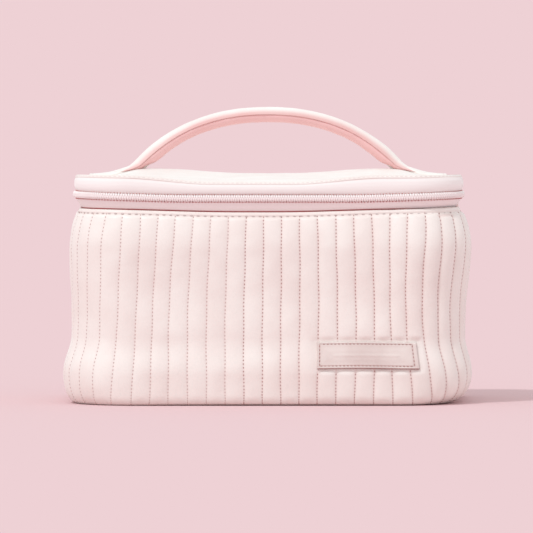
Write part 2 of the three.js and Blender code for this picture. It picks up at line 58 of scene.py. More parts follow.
# ---- Sizes that the frame is built to ----
HALF_WIDTH = 121.0
HALF_DEPTH = 71.0
CORNER = 33.0
RIM_Z = 124.5
BASE_TUCK = 9.0
BASE_FLARE = 8.6
ROLL_Z = 19.0
WAIST_FLARE = 3.6
WAIST_Z = 44.0
SHOULDER_FLARE = 6.0
SHOULDER_Z = 101.0
ZIP_Z = 132.0
CHAIN_FACE = 1.6
CHAIN_END_ANGLE = 20.0
CORD_END_ANGLE = 17.0  # the cords stop short of the hinge, or they would meet as the lid opens
TAPE_FLARE = 1.3
HINGE_Z = ZIP_Z
STRIP_FACE = 1.8
TAB_FROM = 86.5
TAB_TO = 116.5
SLIDER_ANGLE = 35.0
PLATE_FACE = 5.5
BAR_OUT = 8.2
PATCH_FROM = 31.5
PATCH_TO = 94.6
PATCH_LOW = 23.5
PATCH_HIGH = 40.5

STRAIGHT_X = HALF_WIDTH - CORNER
STRAIGHT_Y = HALF_DEPTH - CORNER
ARC = math.pi / 2 * CORNER
TO_SIDE = STRAIGHT_X + ARC
TO_REAR = TO_SIDE + 2 * STRAIGHT_Y
WRAP_END = TO_REAR + ARC
HALF_LOOP = WRAP_END + STRAIGHT_X
CHAIN_END = WRAP_END - math.radians(CHAIN_END_ANGLE) * CORNER
CORD_END = WRAP_END - math.radians(CORD_END_ANGLE) * CORNER

# ---- Sizes of what only the looks have ----
SEAM_PITCH = 11.55
LEFT_PITCH = 11.25
CORNER_PITCH = 9.6
SEAM_PHASE = 8.5
SEAM_DEPTH = 0.5
PUFF = 1.2
STITCH_PITCH = 2.35
RIM_STITCH_DROP = 1.9
RIM_STITCH_PITCH = 4.4
TOOTH_PITCH = 1.5
CHAIN_STITCH = 2.4
FOOT_POWER = 8.0
RIM_ZONE = 9.0  # the top of the wall, meshed more finely
SIDE_SEAM_GAP = 0.03
BACK_SEAMS = 16
# Painted light: the seams left of here get the paler copy of the quilting thread, as the light falls on that
# side.
LIT_SEAMS_UP_TO = -20.0  # seams left of here have the paler thread
STITCH_LENGTH = 1.0
STITCH_RADIUS = 0.36
PATCH_STITCH_PITCH = 2.4
PATCH_BAR = 21.5  # half the length of the raised line
ZIP_STITCH_PITCH = 2.0
WIRE = 0.32
LID_TAPE_FROM = 134.5
LID_TAPE_TO = 143.0
LID_FOLD_Z = 141.2
LID_TOP_Z = 143.6
EDGE_STITCH_PITCH = 3.0
TAB_SEAM_FROM = 95.0
TAB_SEAM_INSET = 2.4
TAB_SEAM_Y = 7.7

rng = np.random.default_rng(7)


# ---- The mouth's outline and the wall's profile ----
def outline(s):
    """Points (x, y) and outward normals of the mouth's outline at distances s along it."""
    s = (np.asarray(s, float) + HALF_LOOP) % (2 * HALF_LOOP) - HALF_LOOP
    side = np.where(s < 0, -1.0, 1.0)
    a = np.abs(s)
    turn = np.clip((a - STRAIGHT_X) / CORNER, 0, math.pi / 2)
    turn = turn + np.clip((a - TO_REAR) / CORNER, 0, math.pi / 2) - math.pi / 2
    x = np.minimum(a, STRAIGHT_X) - np.maximum(a - WRAP_END, 0) + CORNER * np.cos(turn)
    y = np.clip(a - TO_SIDE, 0, 2 * STRAIGHT_Y) - STRAIGHT_Y + CORNER * np.sin(turn)
    return side * x, y, side * np.cos(turn), np.sin(turn)


def along_outline(s):
    """Directions along the outline at distances s, and its outward normals, as 3-D vectors."""
    _, _, nx, ny = outline(s)
    level = np.zeros_like(nx)
    return np.stack([-ny, nx, level], -1), np.stack([nx, ny, level], -1)


def place(s, out, z):
    """Frame points at distances s along the outline, standing out from it, at heights z."""
    x, y, nx, ny = outline(s)
    return np.stack(np.broadcast_arrays(x + nx * out, y + ny * out, z), -1)


def smooth(value, low, high):
    """Rises smoothly from 0 at low to 1 at high."""
    t = np.clip((np.asarray(value, float) - low) / (high - low), 0, 1)
    return t * t * (3 - 2 * t)


def ease(t):
    """A half cosine from 0 to 1."""
    return (1 - np.cos(math.pi * t)) / 2


def rounded(inset, radius):
    """Height up a quarter-round edge, from 0 to 1, at a distance in from it."""
    return np.sqrt(np.clip(1 - (1 - np.clip(inset / radius, 0, 1)) ** 2, 0, 1))


def wall_offset(z):
    """How far the wall's outer face stands out from the mouth at heights z."""
    z = np.asarray(z, float)
    roll = -BASE_TUCK + (BASE_TUCK + BASE_FLARE) * np.sqrt(np.clip(1 - ((ROLL_Z - z) / ROLL_Z) ** 2, 0, 1))
    low = BASE_FLARE + (WAIST_FLARE - BASE_FLARE) * ease(np.clip((z - ROLL_Z) / (WAIST_Z - ROLL_Z), 0, 1))
    high = WAIST_FLARE + (SHOULDER_FLARE - WAIST_FLARE) * ease(
        np.clip((z - WAIST_Z) / (SHOULDER_Z - WAIST_Z), 0, 1)
    )
    rise = np.clip((z - SHOULDER_Z) / (RIM_Z - SHOULDER_Z), 0, 1)
    top = SHOULDER_FLARE * (1 - rise**1.7) ** 0.8
    lower = np.where(z < ROLL_Z, roll, low)
    return np.where(z < WAIST_Z, lower, np.where(z < SHOULDER_Z, high, top))


def unwrap(s):
    """Signed distance from the middle of the front, and the distance without its sign."""
    s = (np.asarray(s, float) + HALF_LOOP) % (2 * HALF_LOOP) - HALF_LOOP
    return s, np.abs(s)


def zip_rise(s):
    """How far the zip's line stands above its height at the back: it sags between the front corners."""
    s, a = unwrap(s)
    return (0.5 + 1.65 * smooth(a, 50, 125)) * (1 - smooth(a, 140, 205))


def rim_rise(s):
    """How far the folded rim stands above or below its height at the back."""
    s, a = unwrap(s)
    corner = np.where(s < 0, smooth(a, 20, 110), smooth(a, 5, 90))
    return (-1.6 + 1.8 * corner) * (1 - smooth(a, 140, 205))


def mouth_bulge(s):
    """How far the zip and the lid's edge push out round the sides, a little more on the right."""
    s, a = unwrap(s)
    return np.where(s < 0, 0.7, 1.7) * smooth(a, 80, 118) * (1 - smooth(a, 165, 205))


def wall_sway(s, z):
    """The wall's own fullness: the right shoulder, the left foot and both waists."""
    s, a = unwrap(s)
    right = 2.9 * np.exp(-(((s - 128) / 44) ** 2) - ((z - 106) / 32) ** 2)
    foot = 1.5 * np.exp(-(((s + 130) / 52) ** 2) - ((z - 14) / 20) ** 2)
    waist = 0.9 * np.exp(-(((a - 132) / 50) ** 2) - ((z - 47) / 24) ** 2)
    waist = waist + 2.7 * (1 - smooth(a, 60, 112)) * np.exp(-(((z - 46) / 20) ** 2))
    loose = 0.3 * ripple(s, z, 90.0, 11) + 0.08 * ripple(s, z * 0.4, 9.0, 12)
    return right + foot + waist + loose * smooth(z, 0, 12) * (1 - smooth(z, 112, 121))


def foot_fullness(s, z):
    """How much squarer the wall is at the floor than its profile: most at the front, least on the right."""
    s, a = unwrap(s)
    share = np.where(s < 0, 1 - 0.45 * smooth(a, 80, 125), 1 - 0.92 * smooth(a, 84, 128))
    share = share + (0.6 - share) * smooth(a, 170, 230)
    left = np.clip((ROLL_Z - z) / ROLL_Z, 0, 1)
    square = (1 - left**FOOT_POWER) ** (1 / FOOT_POWER)
    return share * (BASE_TUCK + BASE_FLARE) * (square - np.sqrt(1 - left**2))


def make_profile():
    """Tables of arc length, height, offset and outward normal up the wall."""
    fine = np.concatenate([ROLL_Z * (1 - np.cos(np.linspace(0, math.pi / 2, 300))),
                           np.linspace(ROLL_Z, SHOULDER_Z, 500)[1:],
                           SHOULDER_Z + (RIM_Z - SHOULDER_Z) * np.sin(np.linspace(0, math.pi / 2, 300))[1:]])
    out = wall_offset(fine)
    step = np.hypot(np.diff(fine), np.diff(out))
    length = np.concatenate([[0], np.cumsum(step)])
    dz = np.gradient(fine, length)
    do = np.gradient(out, length)
    size = np.hypot(dz, do)
    return length, fine, out, dz / size, -do / size


PROFILE = make_profile()
WALL_LENGTH = PROFILE[0][-1]


def profile_at(v):
    """Height, offset and normal (out, up) at arc lengths v up the wall."""
    return [np.interp(v, PROFILE[0], column) for column in PROFILE[1:]]


def ripple(a, b, scale, seed, octaves=3):
    """Smooth waves over two coordinates, between about -1 and 1, the same on every run."""
    source = np.random.default_rng(seed)
    total = 0.0
    for octave in range(octaves):
        for _ in range(4):
            angle, phase = source.uniform(0, TURN, 2)
            pitch = scale * source.uniform(0.7, 1.4) / 2**octave
            wave = np.sin(TURN * (a * math.cos(angle) + b * math.sin(angle)) / pitch + phase)
            total = total + wave / (4 * 1.6**octave)
    return total


# ---- Meshes ----
def make_object(name, verts, faces, body, material, flat=None, smooth_shade=True):
    """A mesh from points in millimetres, riding on a body and taking its finish from a slot."""
    mesh = bpy.data.meshes.new(name)
    mesh.from_pydata((np.asarray(verts, float) * MM).tolist(), [], [list(map(int, f)) for f in faces])
    mesh.validate()
    if flat is not None:
        attribute = mesh.attributes.new("flat", "FLOAT_VECTOR", "POINT")
        attribute.data.foreach_set("vector", np.asarray(flat, np.float32).ravel())
    if smooth_shade:
        mesh.shade_smooth()
    mesh.materials.append(material)
    obj = bpy.data.objects.new(name, mesh)
    bpy.context.scene.collection.objects.link(obj)
    if body:
        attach(obj, body)
    return obj


def grid_faces(rows, cols, wrap_rows=False, wrap_cols=False, start=0):
    """Quads over a grid of points stored row by row."""
    i = np.arange(rows if wrap_rows else rows - 1)[:, None]
    j = np.arange(cols if wrap_cols else cols - 1)[None, :]
    i2, j2 = (i + 1) % rows, (j + 1) % cols
    quads = [i * cols + j, i * cols + j2, i2 * cols + j2, i2 * cols + j]
    return start + np.stack([q.ravel() for q in np.broadcast_arrays(*quads)], -1)


def grid_object(name, points, body, slot, material, flat=None, **wraps):
    rows, cols = points.shape[:2]
    faces = grid_faces(rows, cols, **wraps)
    coordinates = None if flat is None else flat.reshape(-1, 3)
    return make_object(name, points.reshape(-1, 3), faces, body, material, coordinates)


def swept(name, section, s, body, material, wrap=False, lift=None):
    """A closed section, a list of (offset, height), swept along the outline, with its ends capped."""
    section = np.asarray(section, float)
    s = np.asarray(s, float)
    out = np.broadcast_to(section[:, 0], (len(s), len(section)))
    z = np.broadcast_to(section[:, 1], (len(s), len(section)))
    if lift is not None:
        out, z = lift(s[:, None], out, z)
    points = place(s[:, None], out, z)
    around = np.concatenate([[0], np.cumsum(np.hypot(*np.diff(section, axis=0).T))])
    flat = np.stack(np.broadcast_arrays(s[:, None], around[None, :], 0.0), -1)
    faces = grid_faces(len(s), len(section), wrap_rows=wrap, wrap_cols=True).tolist()
    if not wrap:
        n = len(section)
        for k in range(n // 2 - 1):
            quad = [k, k + 1, n - 2 - k, n - 1 - k]
            faces.append(quad)
            faces.append([(len(s) - 1) * n + q for q in reversed(quad)])
    return make_object(name, points.reshape(-1, 3), faces, body, material, flat.reshape(-1, 3))


def resample(path, step):
    """A path of (offset, height) points, evenly spaced."""
    path = np.asarray(path, float)
    length = np.concatenate([[0], np.cumsum(np.hypot(*np.diff(path, axis=0).T))])
    at = np.linspace(0, length[-1], max(2, round(length[-1] / step) + 1))
    return np.stack([np.interp(at, length, path[:, k]) for k in range(2)], -1)


def band(path, thickness, step=1.0):
    """The closed section of a sheet whose outer face follows a path, with rounded edges."""
    line = resample(path, step)
    tangent = np.gradient(line, axis=0)
    tangent /= np.hypot(*tangent.T)[:, None]
    inward = np.stack([-tangent[:, 1], tangent[:, 0]], -1)
    return np.concatenate([line, (line + inward * thickness)[::-1]])


def stations(start, end, step=2.5):
    return np.linspace(start, end, max(2, round(abs(end - start) / step) + 1))


def capsules(name, centres, along, up, length, radius, body, material, slot="woven_tape", flatten=0.8):
    """One mesh of many stitches: each a small rounded bar on the surface."""
    centres, along, up = (np.asarray(a, float) for a in (centres, along, up))
    along = along / np.linalg.norm(along, axis=-1, keepdims=True)
    across = np.cross(along, up)
    across /= np.linalg.norm(across, axis=-1, keepdims=True)
    lift = np.cross(across, along)
    sides = 6
    rings = [(-0.5, 0.25), (-0.36, 0.85), (0.0, 1.0), (0.36, 0.85), (0.5, 0.25)]
    angle = TURN * np.arange(sides) / sides
    cos, sin = np.cos(angle), np.sin(angle)
    verts = []
    for shift, girth in rings:
        middle = centres + along * (shift * length) - lift * (radius * 0.6 * (1 - girth))
        ring = (across[:, None, :] * (cos * radius * girth)[None, :, None]
                + lift[:, None, :] * (sin * radius * girth * flatten)[None, :, None])
        verts.append(middle[:, None, :] + ring)
    verts = np.stack(verts, 1)
    one = grid_faces(len(rings), sides, wrap_cols=True)
    count = len(rings) * sides
    faces = [f for k in range(len(centres)) for f in (one + k * count).tolist()]
    for k in range(len(centres)):
        faces.append([k * count + j for j in reversed(range(sides))])
        faces.append([k * count + count - sides + j for j in range(sides)])
    return make_object(name, verts.reshape(-1, 3), faces, body, material)


def run_points(path, pitch, start=0.0):
    """Points, directions and shares along a path of 3-D points, one for each stitch."""
    path = np.asarray(path, float)
    length = np.concatenate([[0], np.cumsum(np.linalg.norm(np.diff(path, axis=0), axis=1))])
    at = np.arange(start + pitch / 2, length[-1] - pitch / 3, pitch)
    points = np.stack([np.interp(at, length, path[:, k]) for k in range(3)], -1)
    ahead = np.stack([np.interp(np.minimum(at + 0.3, length[-1]), length, path[:, k]) for k in range(3)], -1)
    back = np.stack([np.interp(at - 0.3, length, path[:, k]) for k in range(3)], -1)
    return points, ahead - back, at


def tube(path, radius, sides, squash=1.0, closed=False):
    """Rings of points round a path; radius may be one number or one for each point."""
    path = np.asarray(path, float)
    if closed:
        tangent = np.roll(path, -1, axis=0) - np.roll(path, 1, axis=0)
    else:
        tangent = np.gradient(path, axis=0)
    tangent /= np.linalg.norm(tangent, axis=1, keepdims=True)
    side = np.cross(tangent, [0.0, 1.0, 0.0])
    weak = np.linalg.norm(side, axis=1) < 0.2
    side[weak] = np.cross(tangent[weak], [0.0, 0.0, 1.0])
    side /= np.linalg.norm(side, axis=1, keepdims=True)
    other = np.cross(side, tangent)
    radius = np.broadcast_to(radius, len(path))[:, None, None]
    angle = TURN * np.arange(sides) / sides
    ring = side[:, None, :] * np.cos(angle)[None, :, None]
    ring = ring + other[:, None, :] * (squash * np.sin(angle))[None, :, None]
    return path[:, None, :] + ring * radius


# ---- Materials ----
def srgb(r, g, b):
    """A linear colour from 0 to 255 display values."""
    return tuple(((c / 255 + 0.055) / 1.055) ** 2.4 if c > 10 else c / 3294 for c in (r, g, b)) + (1.0,)


# Dark rose painted as shadow into the gap between the folded rim and the zip tape.
PAINTED_CREVICE_SHADOW = srgb(182, 62, 60)


class Nodes:
    """A small helper for writing node trees."""

    def __init__(self, name):
        self.material = bpy.data.materials.new(name)
        self.material.use_nodes = True
        self.tree = self.material.node_tree
        self.shader = self.tree.nodes["Principled BSDF"]

    def add(self, kind, inputs=None, **settings):
        node = self.tree.nodes.new("ShaderNode" + kind)
        for key, value in settings.items():
            setattr(node, key, value)
        for key, value in (inputs or {}).items():
            if isinstance(value, bpy.types.NodeSocket):
                self.tree.links.new(value, node.inputs[key])
            else:
                node.inputs[key].default_value = value
        return node

    def set(self, **values):
        for key, value in values.items():
            socket = self.shader.inputs[key.replace("_", " ")]
            if isinstance(value, bpy.types.NodeSocket):
                self.tree.links.new(value, socket)
            else:
                socket.default_value = value

    def place(self):
        """Object coordinates in millimetres."""
        where = self.add("TexCoord").outputs["Object"]
        return self.add("VectorMath", {0: where, 3: 1 / MM}, operation="SCALE").outputs[0]

    def flat(self):
        """Coordinates in the flat sheet, in millimetres: along, up, and the share of painted shade."""
        vector = self.add("Attribute", attribute_name="flat").outputs["Vector"]
        split = self.add("SeparateXYZ", {0: vector})
        return split.outputs[0], split.outputs[1], split.outputs[2]

    def math(self, operation, a, b=0.0, c=0.0):
        return self.add("Math", {0: a, 1: b, 2: c}, operation=operation).outputs[0]

    def noise(self, vector, scale, detail=3.0, roughness=0.55):
        inputs = {"Vector": vector, "Scale": scale, "Detail": detail, "Roughness": roughness}
        return self.add("TexNoise", inputs).outputs["Fac"]

    def range(self, value, low, high, to_low, to_high):
        inputs = {0: value, 1: low, 2: high, 3: to_low, 4: to_high}
        return self.add("MapRange", inputs).outputs[0]

    def spread(self, noise, to_low, to_high):
        """Noise, which mostly lies from 0.3 to 0.7, spread between two values."""
        return self.range(noise, 0.3, 0.7, to_low, to_high)

    def mix(self, share, a, b, blend="MIX"):
        node = self.add("Mix", data_type="RGBA", blend_type=blend)
        for index, value in ((0, share), (6, a), (7, b)):
            if isinstance(value, bpy.types.NodeSocket):
                self.tree.links.new(value, node.inputs[index])
            else:
                node.inputs[index].default_value = value
        return node.outputs[2]

    def bump(self, height, distance, strength=1.0, under=None):
        inputs = {"Height": height, "Distance": distance * MM, "Strength": strength}
        if under is not None:
            inputs["Normal"] = under
        return self.add("Bump", inputs).outputs[0]


def leathercloth(name, light, deep, has_flat=True):
    """Coated cloth: a fine pebble grain, faint mottling, and painted shade down in the seams, grooves and
    folds.
    """
    n = Nodes(name)
    where = n.place()
    mottle = n.noise(where, 0.035, 2.0)
    cloud = n.range(mottle, 0.35, 0.65, 0.0, 0.22)
    if has_flat:
        crease_shade = n.flat()[2]
        # painted shade: the flat attribute's third value pulls the colour towards the deep tone
        share = n.math("ADD", n.math("MULTIPLY", crease_shade, 0.85), cloud)
        share = n.math("MINIMUM", share, 1.0)
    else:
        share = cloud
    colour = n.mix(share, light, deep)
    grain = n.add("TexVoronoi", {"Vector": where, "Scale": 1.15}, feature="SMOOTH_F1").outputs["Distance"]
    fine = n.noise(where, 2.6, 2.0)
    speck = n.spread(fine, 0.97, 1.02)
    colour = n.mix(1.0, colour, n.add("CombineColor", {0: speck, 1: speck, 2: speck}).outputs[0], "MULTIPLY")
    broad = n.bump(n.noise(where, 0.12, 3.0), 0.35, 0.5)
    pebble = n.bump(grain, 0.07, 0.45, broad)
    normal = n.bump(fine, 0.03, 0.5, pebble)
    n.set(Base_Color=colour, Roughness=n.spread(mottle, 0.44, 0.56), Normal=normal)
    n.set(Specular_IOR_Level=0.42, Sheen_Weight=0.12, Sheen_Roughness=0.5, Coat_Weight=0.06)
    n.set(Coat_Roughness=0.35)
    return n.material


def woven(name, light, deep, rib=0.9, ridge=0.35):
    """Woven tape: fine ribs that lean one way and then the other, with loose fibre noise, and painted shadow
    in dark rose where the flat attribute's third value asks for it.
    """
    n = Nodes(name)
    along, up, crease_shade = n.flat()
    zigzag = n.math("PINGPONG", up, ridge * 3)
    wave = n.math("SINE", n.math("MULTIPLY", n.math("ADD", along, zigzag), TURN / rib))
    weft = n.math("SINE", n.math("MULTIPLY", up, TURN / (rib * 0.8)))
    height = n.math("ADD", n.math("MULTIPLY", wave, 0.6), n.math("MULTIPLY", weft, 0.35))
    fibre = n.noise(n.place(), 1.8, 4.0)
    share = n.range(n.math("ADD", height, n.math("MULTIPLY", fibre, 1.2)), -0.6, 1.6, 0.75, 0.0)
    # painted shadow: the weave turns dark rose as far as the flat attribute's third value says
    shade = n.mix(n.math("MINIMUM", crease_shade, 1.0), n.mix(share, light, deep), PAINTED_CREVICE_SHADOW)
    n.set(Base_Color=shade, Roughness=0.85)
    n.set(Normal=n.bump(n.math("ADD", height, fibre), 0.06, 0.5))
    n.set(Specular_IOR_Level=0.25, Sheen_Weight=0.35, Sheen_Roughness=0.45)
    return n.material


def satin(name, light, deep):
    """Lining satin: a soft sheen over a close weave with faint slubs."""
    n = Nodes(name)
    where = n.place()
    long = n.add("VectorMath", {0: where, 1: (1.0, 1.0, 0.06)}, operation="MULTIPLY").outputs[0]
    slub = n.noise(long, 0.9, 4.0)
    soft = n.noise(where, 0.03, 2.0)
    share = n.math("ADD", n.spread(slub, 0.0, 0.5), n.spread(soft, 0.0, 0.4))
    n.set(Base_Color=n.mix(share, light, deep), Roughness=n.spread(slub, 0.32, 0.48))
    n.set(Normal=n.bump(slub, 0.04, 0.6), Sheen_Weight=0.5, Sheen_Roughness=0.3, Specular_IOR_Level=0.5)
    return n.material


def fibrous(name, light, deep, scale, depth, roughness=0.95):
    """Foam, wadding or board: a porous or flecked surface."""
    n = Nodes(name)
    where = n.place()
    pores = n.noise(where, scale, 5.0, 0.7)
    n.set(Base_Color=n.mix(n.range(pores, 0.35, 0.7, 0.0, 1.0), light, deep), Roughness=roughness)
    n.set(Normal=n.bump(pores, depth, 0.8))
    return n.material


def thread(name, light, deep):
    """Twisted sewing thread."""
    n = Nodes(name)
    twist = n.noise(n.place(), 3.5, 2.0)
    n.set(Base_Color=n.mix(n.spread(twist, 0.0, 1.0), light, deep), Roughness=0.55)
    n.set(Sheen_Weight=0.3, Normal=n.bump(twist, 0.05, 0.6))
    return n.material


def coil_nylon(name, light, deep):
    """Drawn nylon: smooth, a little translucent-looking, with faint drawing marks."""
    n = Nodes(name)
    marks = n.noise(n.place(), 2.2, 2.0)
    n.set(Base_Color=n.mix(n.spread(marks, 0.0, 0.6), light, deep), Roughness=0.34)
    n.set(Normal=n.bump(marks, 0.02, 0.4), Specular_IOR_Level=0.5, Coat_Weight=0.15, Coat_Roughness=0.2)
    return n.material


def enamel(name, light, deep):
    """Baked enamel over cast metal, with a slight orange peel and duller hollows."""
    n = Nodes(name)
    where = n.place()
    peel = n.noise(where, 0.9, 2.0)
    tone = n.noise(where, 0.2, 2.0)
    n.set(Base_Color=n.mix(n.spread(tone, 0.0, 0.7), light, deep), Metallic=0.35)
    n.set(Roughness=n.spread(peel, 0.16, 0.26), Normal=n.bump(peel, 0.03, 0.35))
    n.set(Coat_Weight=0.6, Coat_Roughness=0.08)
    return n.material


PINK = srgb(245, 235, 229)
# The deep pink serves both the leather's random mottling and its painted shade in seams, grooves and folds.
MOTTLE_AND_SHADE_PINK = srgb(227, 201, 195)
LEATHER = leathercloth("leathercloth_quilted", PINK, MOTTLE_AND_SHADE_PINK)
# The handle's deep tone is its mottling and the painted shade towards the outer cover's side seam.
HANDLE_LEATHER = leathercloth("leathercloth_handle", PINK, srgb(232, 182, 178))
PLAIN_LEATHER = leathercloth("leathercloth_plain", PINK, MOTTLE_AND_SHADE_PINK, has_flat=False)
# The handle's underside: a pinker, darker copy of the leather, painted shade for the side the top light
# misses.
SHADED_UNDERSIDE_LEATHER = leathercloth("leathercloth_underside_shaded", srgb(243, 194, 192), srgb(230, 174, 171), False)
# The patch's dark deep tone serves its mottling and the painted shadow along its lower and right edges and in
# its stitch groove.
PATCH_LEATHER = leathercloth("leathercloth_patch", srgb(231, 215, 209), srgb(150, 98, 93))
TAPE = woven("zip_tape_weave", srgb(252, 243, 241), srgb(238, 216, 214))
LID_TAPE = woven("lid_tape_weave", srgb(252, 245, 242), srgb(246, 235, 232), 0.9, 0.6)
BINDING = woven("binding_weave", srgb(240, 214, 213), srgb(214, 176, 176), 1.4, 0.5)
COIL = coil_nylon("coil_nylon", srgb(251, 240, 238), srgb(243, 222, 220))
SATIN = satin("lining_satin", srgb(246, 222, 219), srgb(230, 194, 191))
# Lit and shaded copies of one quilting thread: its dark tone is painted shade for the needle holes, paler on
# the lit left.
SHADED_SIDE_THREAD = thread("quilting_thread", srgb(190, 146, 141), srgb(168, 120, 116))
LIT_SIDE_THREAD = thread("quilting_thread_lit_side", srgb(214, 188, 183), srgb(198, 166, 161))
# The cord is real; its rosier tone than the tape is painted shade for the gaps between the teeth.
CORD = fibrous("zip_cord", srgb(246, 206, 203), srgb(236, 182, 179), 1.6, 0.05, 0.8)
PALE_THREAD = thread("topstitch_thread", srgb(220, 204, 201), srgb(194, 174, 171))
EDGE_THREAD = thread("edge_thread", srgb(236, 220, 217), srgb(220, 200, 196))
DARK_THREAD = thread("zip_thread", srgb(206, 122, 121), srgb(180, 94, 93))
FOAM = fibrous("foam_pores", srgb(250, 244, 238), srgb(226, 214, 204), 1.1, 0.3)
BOARD = fibrous("board_flecks", srgb(226, 216, 208), srgb(196, 184, 174), 0.6, 0.1, 0.85)
ENAMEL = enamel("slider_enamel", srgb(244, 220, 216), srgb(230, 196, 192))


# ---- Quilted walls ----
SEAM_DRIFT = (  # place under the rim, drift down to the floor, bow halfway down
    (-200, 0.0, 0.0), (-110, -4.5, 0.0), (-82, -6.5, 0.5), (-59, -5.1, -1.7),
    (-37, -3.2, -1.1), (0, -1.0, 0.0), (43, 0.2, 1.0), (66, 1.3, 1.1),
    (78, 1.9, -0.5), (100, 3.0, -4.0), (118, 3.0, -4.5), (200, 0.0, 0.0),
)


def seam_place(s, z):
    """Where a seam that starts at s under the rim runs at height z: it drifts, and bows halfway down."""
    drop = 1 - z / RIM_Z
    start, drift, bow = np.transpose(SEAM_DRIFT)
    wobble = 0.3 * np.sin(s * 1.7 + z / 17.0) * drop + 0.15 * np.sin(s * 0.9 + z / 6.1)
    wobble = wobble * (1 - smooth(unwrap(s)[1], 225, 255))
    bowed = np.interp(s, start, bow) * np.sin(math.pi * np.clip(drop, 0, 1))
    return s + np.interp(s, start, drift) * drop + bowed + wobble


def patch_press(s, z):
    """1 under the label patch and close round it, where it presses the padding flat."""
    inside_s = smooth(s, PATCH_FROM - 4.5, PATCH_FROM) * (1 - smooth(s, PATCH_TO, PATCH_TO + 3.5))
    inside_z = smooth(z, PATCH_LOW - 3.5, PATCH_LOW) * (1 - smooth(z, PATCH_HIGH + 0.5, PATCH_HIGH + 4.0))
    return inside_s * inside_z


def wall_lift(t, s, z, swell):
    """How far the quilted face stands out from the wall's profile, and how much painted shade it gets along
    the seams, under the rim's stitching and in the pucker at the right front corner.
    """
    pull = 0.8 + 0.45 * smooth(s, -60, 80)
    crown = 1 - np.abs(2 * t - 1) ** 2.2
    below = RIM_Z - RIM_STITCH_DROP - z
    fade = smooth(below, -0.2, 3.0) * smooth(z, 0.5, 7.0)
    puff = PUFF * pull * swell * crown * fade * (1 - patch_press(s, z))
    base = -SEAM_DEPTH * (0.35 + 0.65 * smooth(z, 0, 9)) * smooth(below, -1.2, 0.4)
    groove = 0.35 * np.exp(-((below / 0.45) ** 2))
    fold = 0.95 * np.exp(-(((s - 113.5) / 5.5) ** 2) - ((z - 120.4) / 1.1) ** 2)
    lift = puff + base - groove + wall_sway(s, z) - fold
    seam = np.exp(-((np.minimum(t, 1 - t) / 0.06) ** 2)) * fade
    # painted shade along the seams: faint on the left where the light falls, stronger on the right
    strength = 0.1 + 0.2 * smooth(s, -120, -60) + 0.3 * smooth(s, -40, 60)
    crease_shade = strength * seam + 0.25 * np.exp(-((below / 0.5) ** 2)) + 0.9 * fold
    return lift, np.clip(crease_shade, 0, 1)


def wall_point(s, v, lift):
    """A point of the wall at arc length v up its profile, standing out from it by lift."""
    z, out, normal_out, normal_up = profile_at(v)
    up = z + lift * normal_up + rim_rise(s) * smooth(z, 85, RIM_Z)
    return place(s, out + lift * normal_out + foot_fullness(s, z), up)


def quilted_wall(name, seams, node, body):
    """A quilted sheet between its first and last seam, with its rim folded in and its foot tucked under."""
    across = np.array([0.0, 0.035, 0.09, 0.18, 0.32, 0.5, 0.68, 0.82, 0.91, 0.965])
    turn = WALL_LENGTH - RIM_ZONE
    v = np.concatenate([np.linspace(0, turn, 122), np.linspace(turn, WALL_LENGTH, 26)[1:]])
    z = profile_at(v)[0][:, None]
    count = len(seams) - 1
    swell = 1 + 0.16 * ripple(np.arange(count) * 3.1, 0.0, 7.0, 21)
    t = np.tile(across, count)
    channel = np.repeat(np.arange(count), len(across))
    t, channel = np.append(t, 1.0), np.append(channel, count - 1)
    seams = np.asarray(seams)
    left, right = seam_place(seams[channel], z), seam_place(seams[channel + 1], z)
    s = left + (right - left) * t
    along_swell = swell[channel] * (1 + 0.12 * ripple(z, channel * 5.0, 60.0, 22))
    lift, crease_shade = wall_lift(t, s, z, along_swell)
    points = wall_point(s, v[:, None], lift)
    flat = np.stack([s, np.broadcast_to(v[:, None], s.shape), crease_shade], -1)
    # the fold over the rim, then down the inside
    fold = [(-0.25, 0.45), (-0.75, 0.62), (-1.2, 0.35), (-1.45, -0.4), (-1.5, -3.0), (-1.5, -6.0)]
    top_s = s[-1]
    rows = [place(top_s, lift[-1] + o, RIM_Z + rim_rise(top_s) + dz) for o, dz in fold]
    foot = [place(s[0], lift[0] - BASE_TUCK - 0.4, 0.5), place(s[0], lift[0] - BASE_TUCK + 0.5, 1.3)]
    points = np.concatenate([np.stack(foot[::-1]), points, np.stack(rows)])
    points[:, :, 2] = np.maximum(points[:, :, 2], 0.0)
    edge = np.broadcast_to(flat[:1], (2,) + flat.shape[1:])
    rim = np.stack([np.stack([top_s, np.full_like(top_s, WALL_LENGTH + k), np.zeros_like(top_s)], -1)
                    for k in range(len(fold))])
    flat = np.concatenate([edge, flat, rim])
    obj = grid_object(name, points, body, "leathercloth", LEATHER, flat)
    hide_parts(node)
    # painted light: seams on the lit left get the paler thread, the rest the darker one
    pale = seams[1:-1] < LIT_SEAMS_UP_TO
    for part, chosen, material in (("left", pale, LIT_SIDE_THREAD), ("right", ~pale, SHADED_SIDE_THREAD)):
        if chosen.any():
            stitches = seam_stitches(seams[1:-1][chosen])
            capsules(f"{name}_stitches_{part}", *stitches, STITCH_LENGTH, STITCH_RADIUS, body, material)


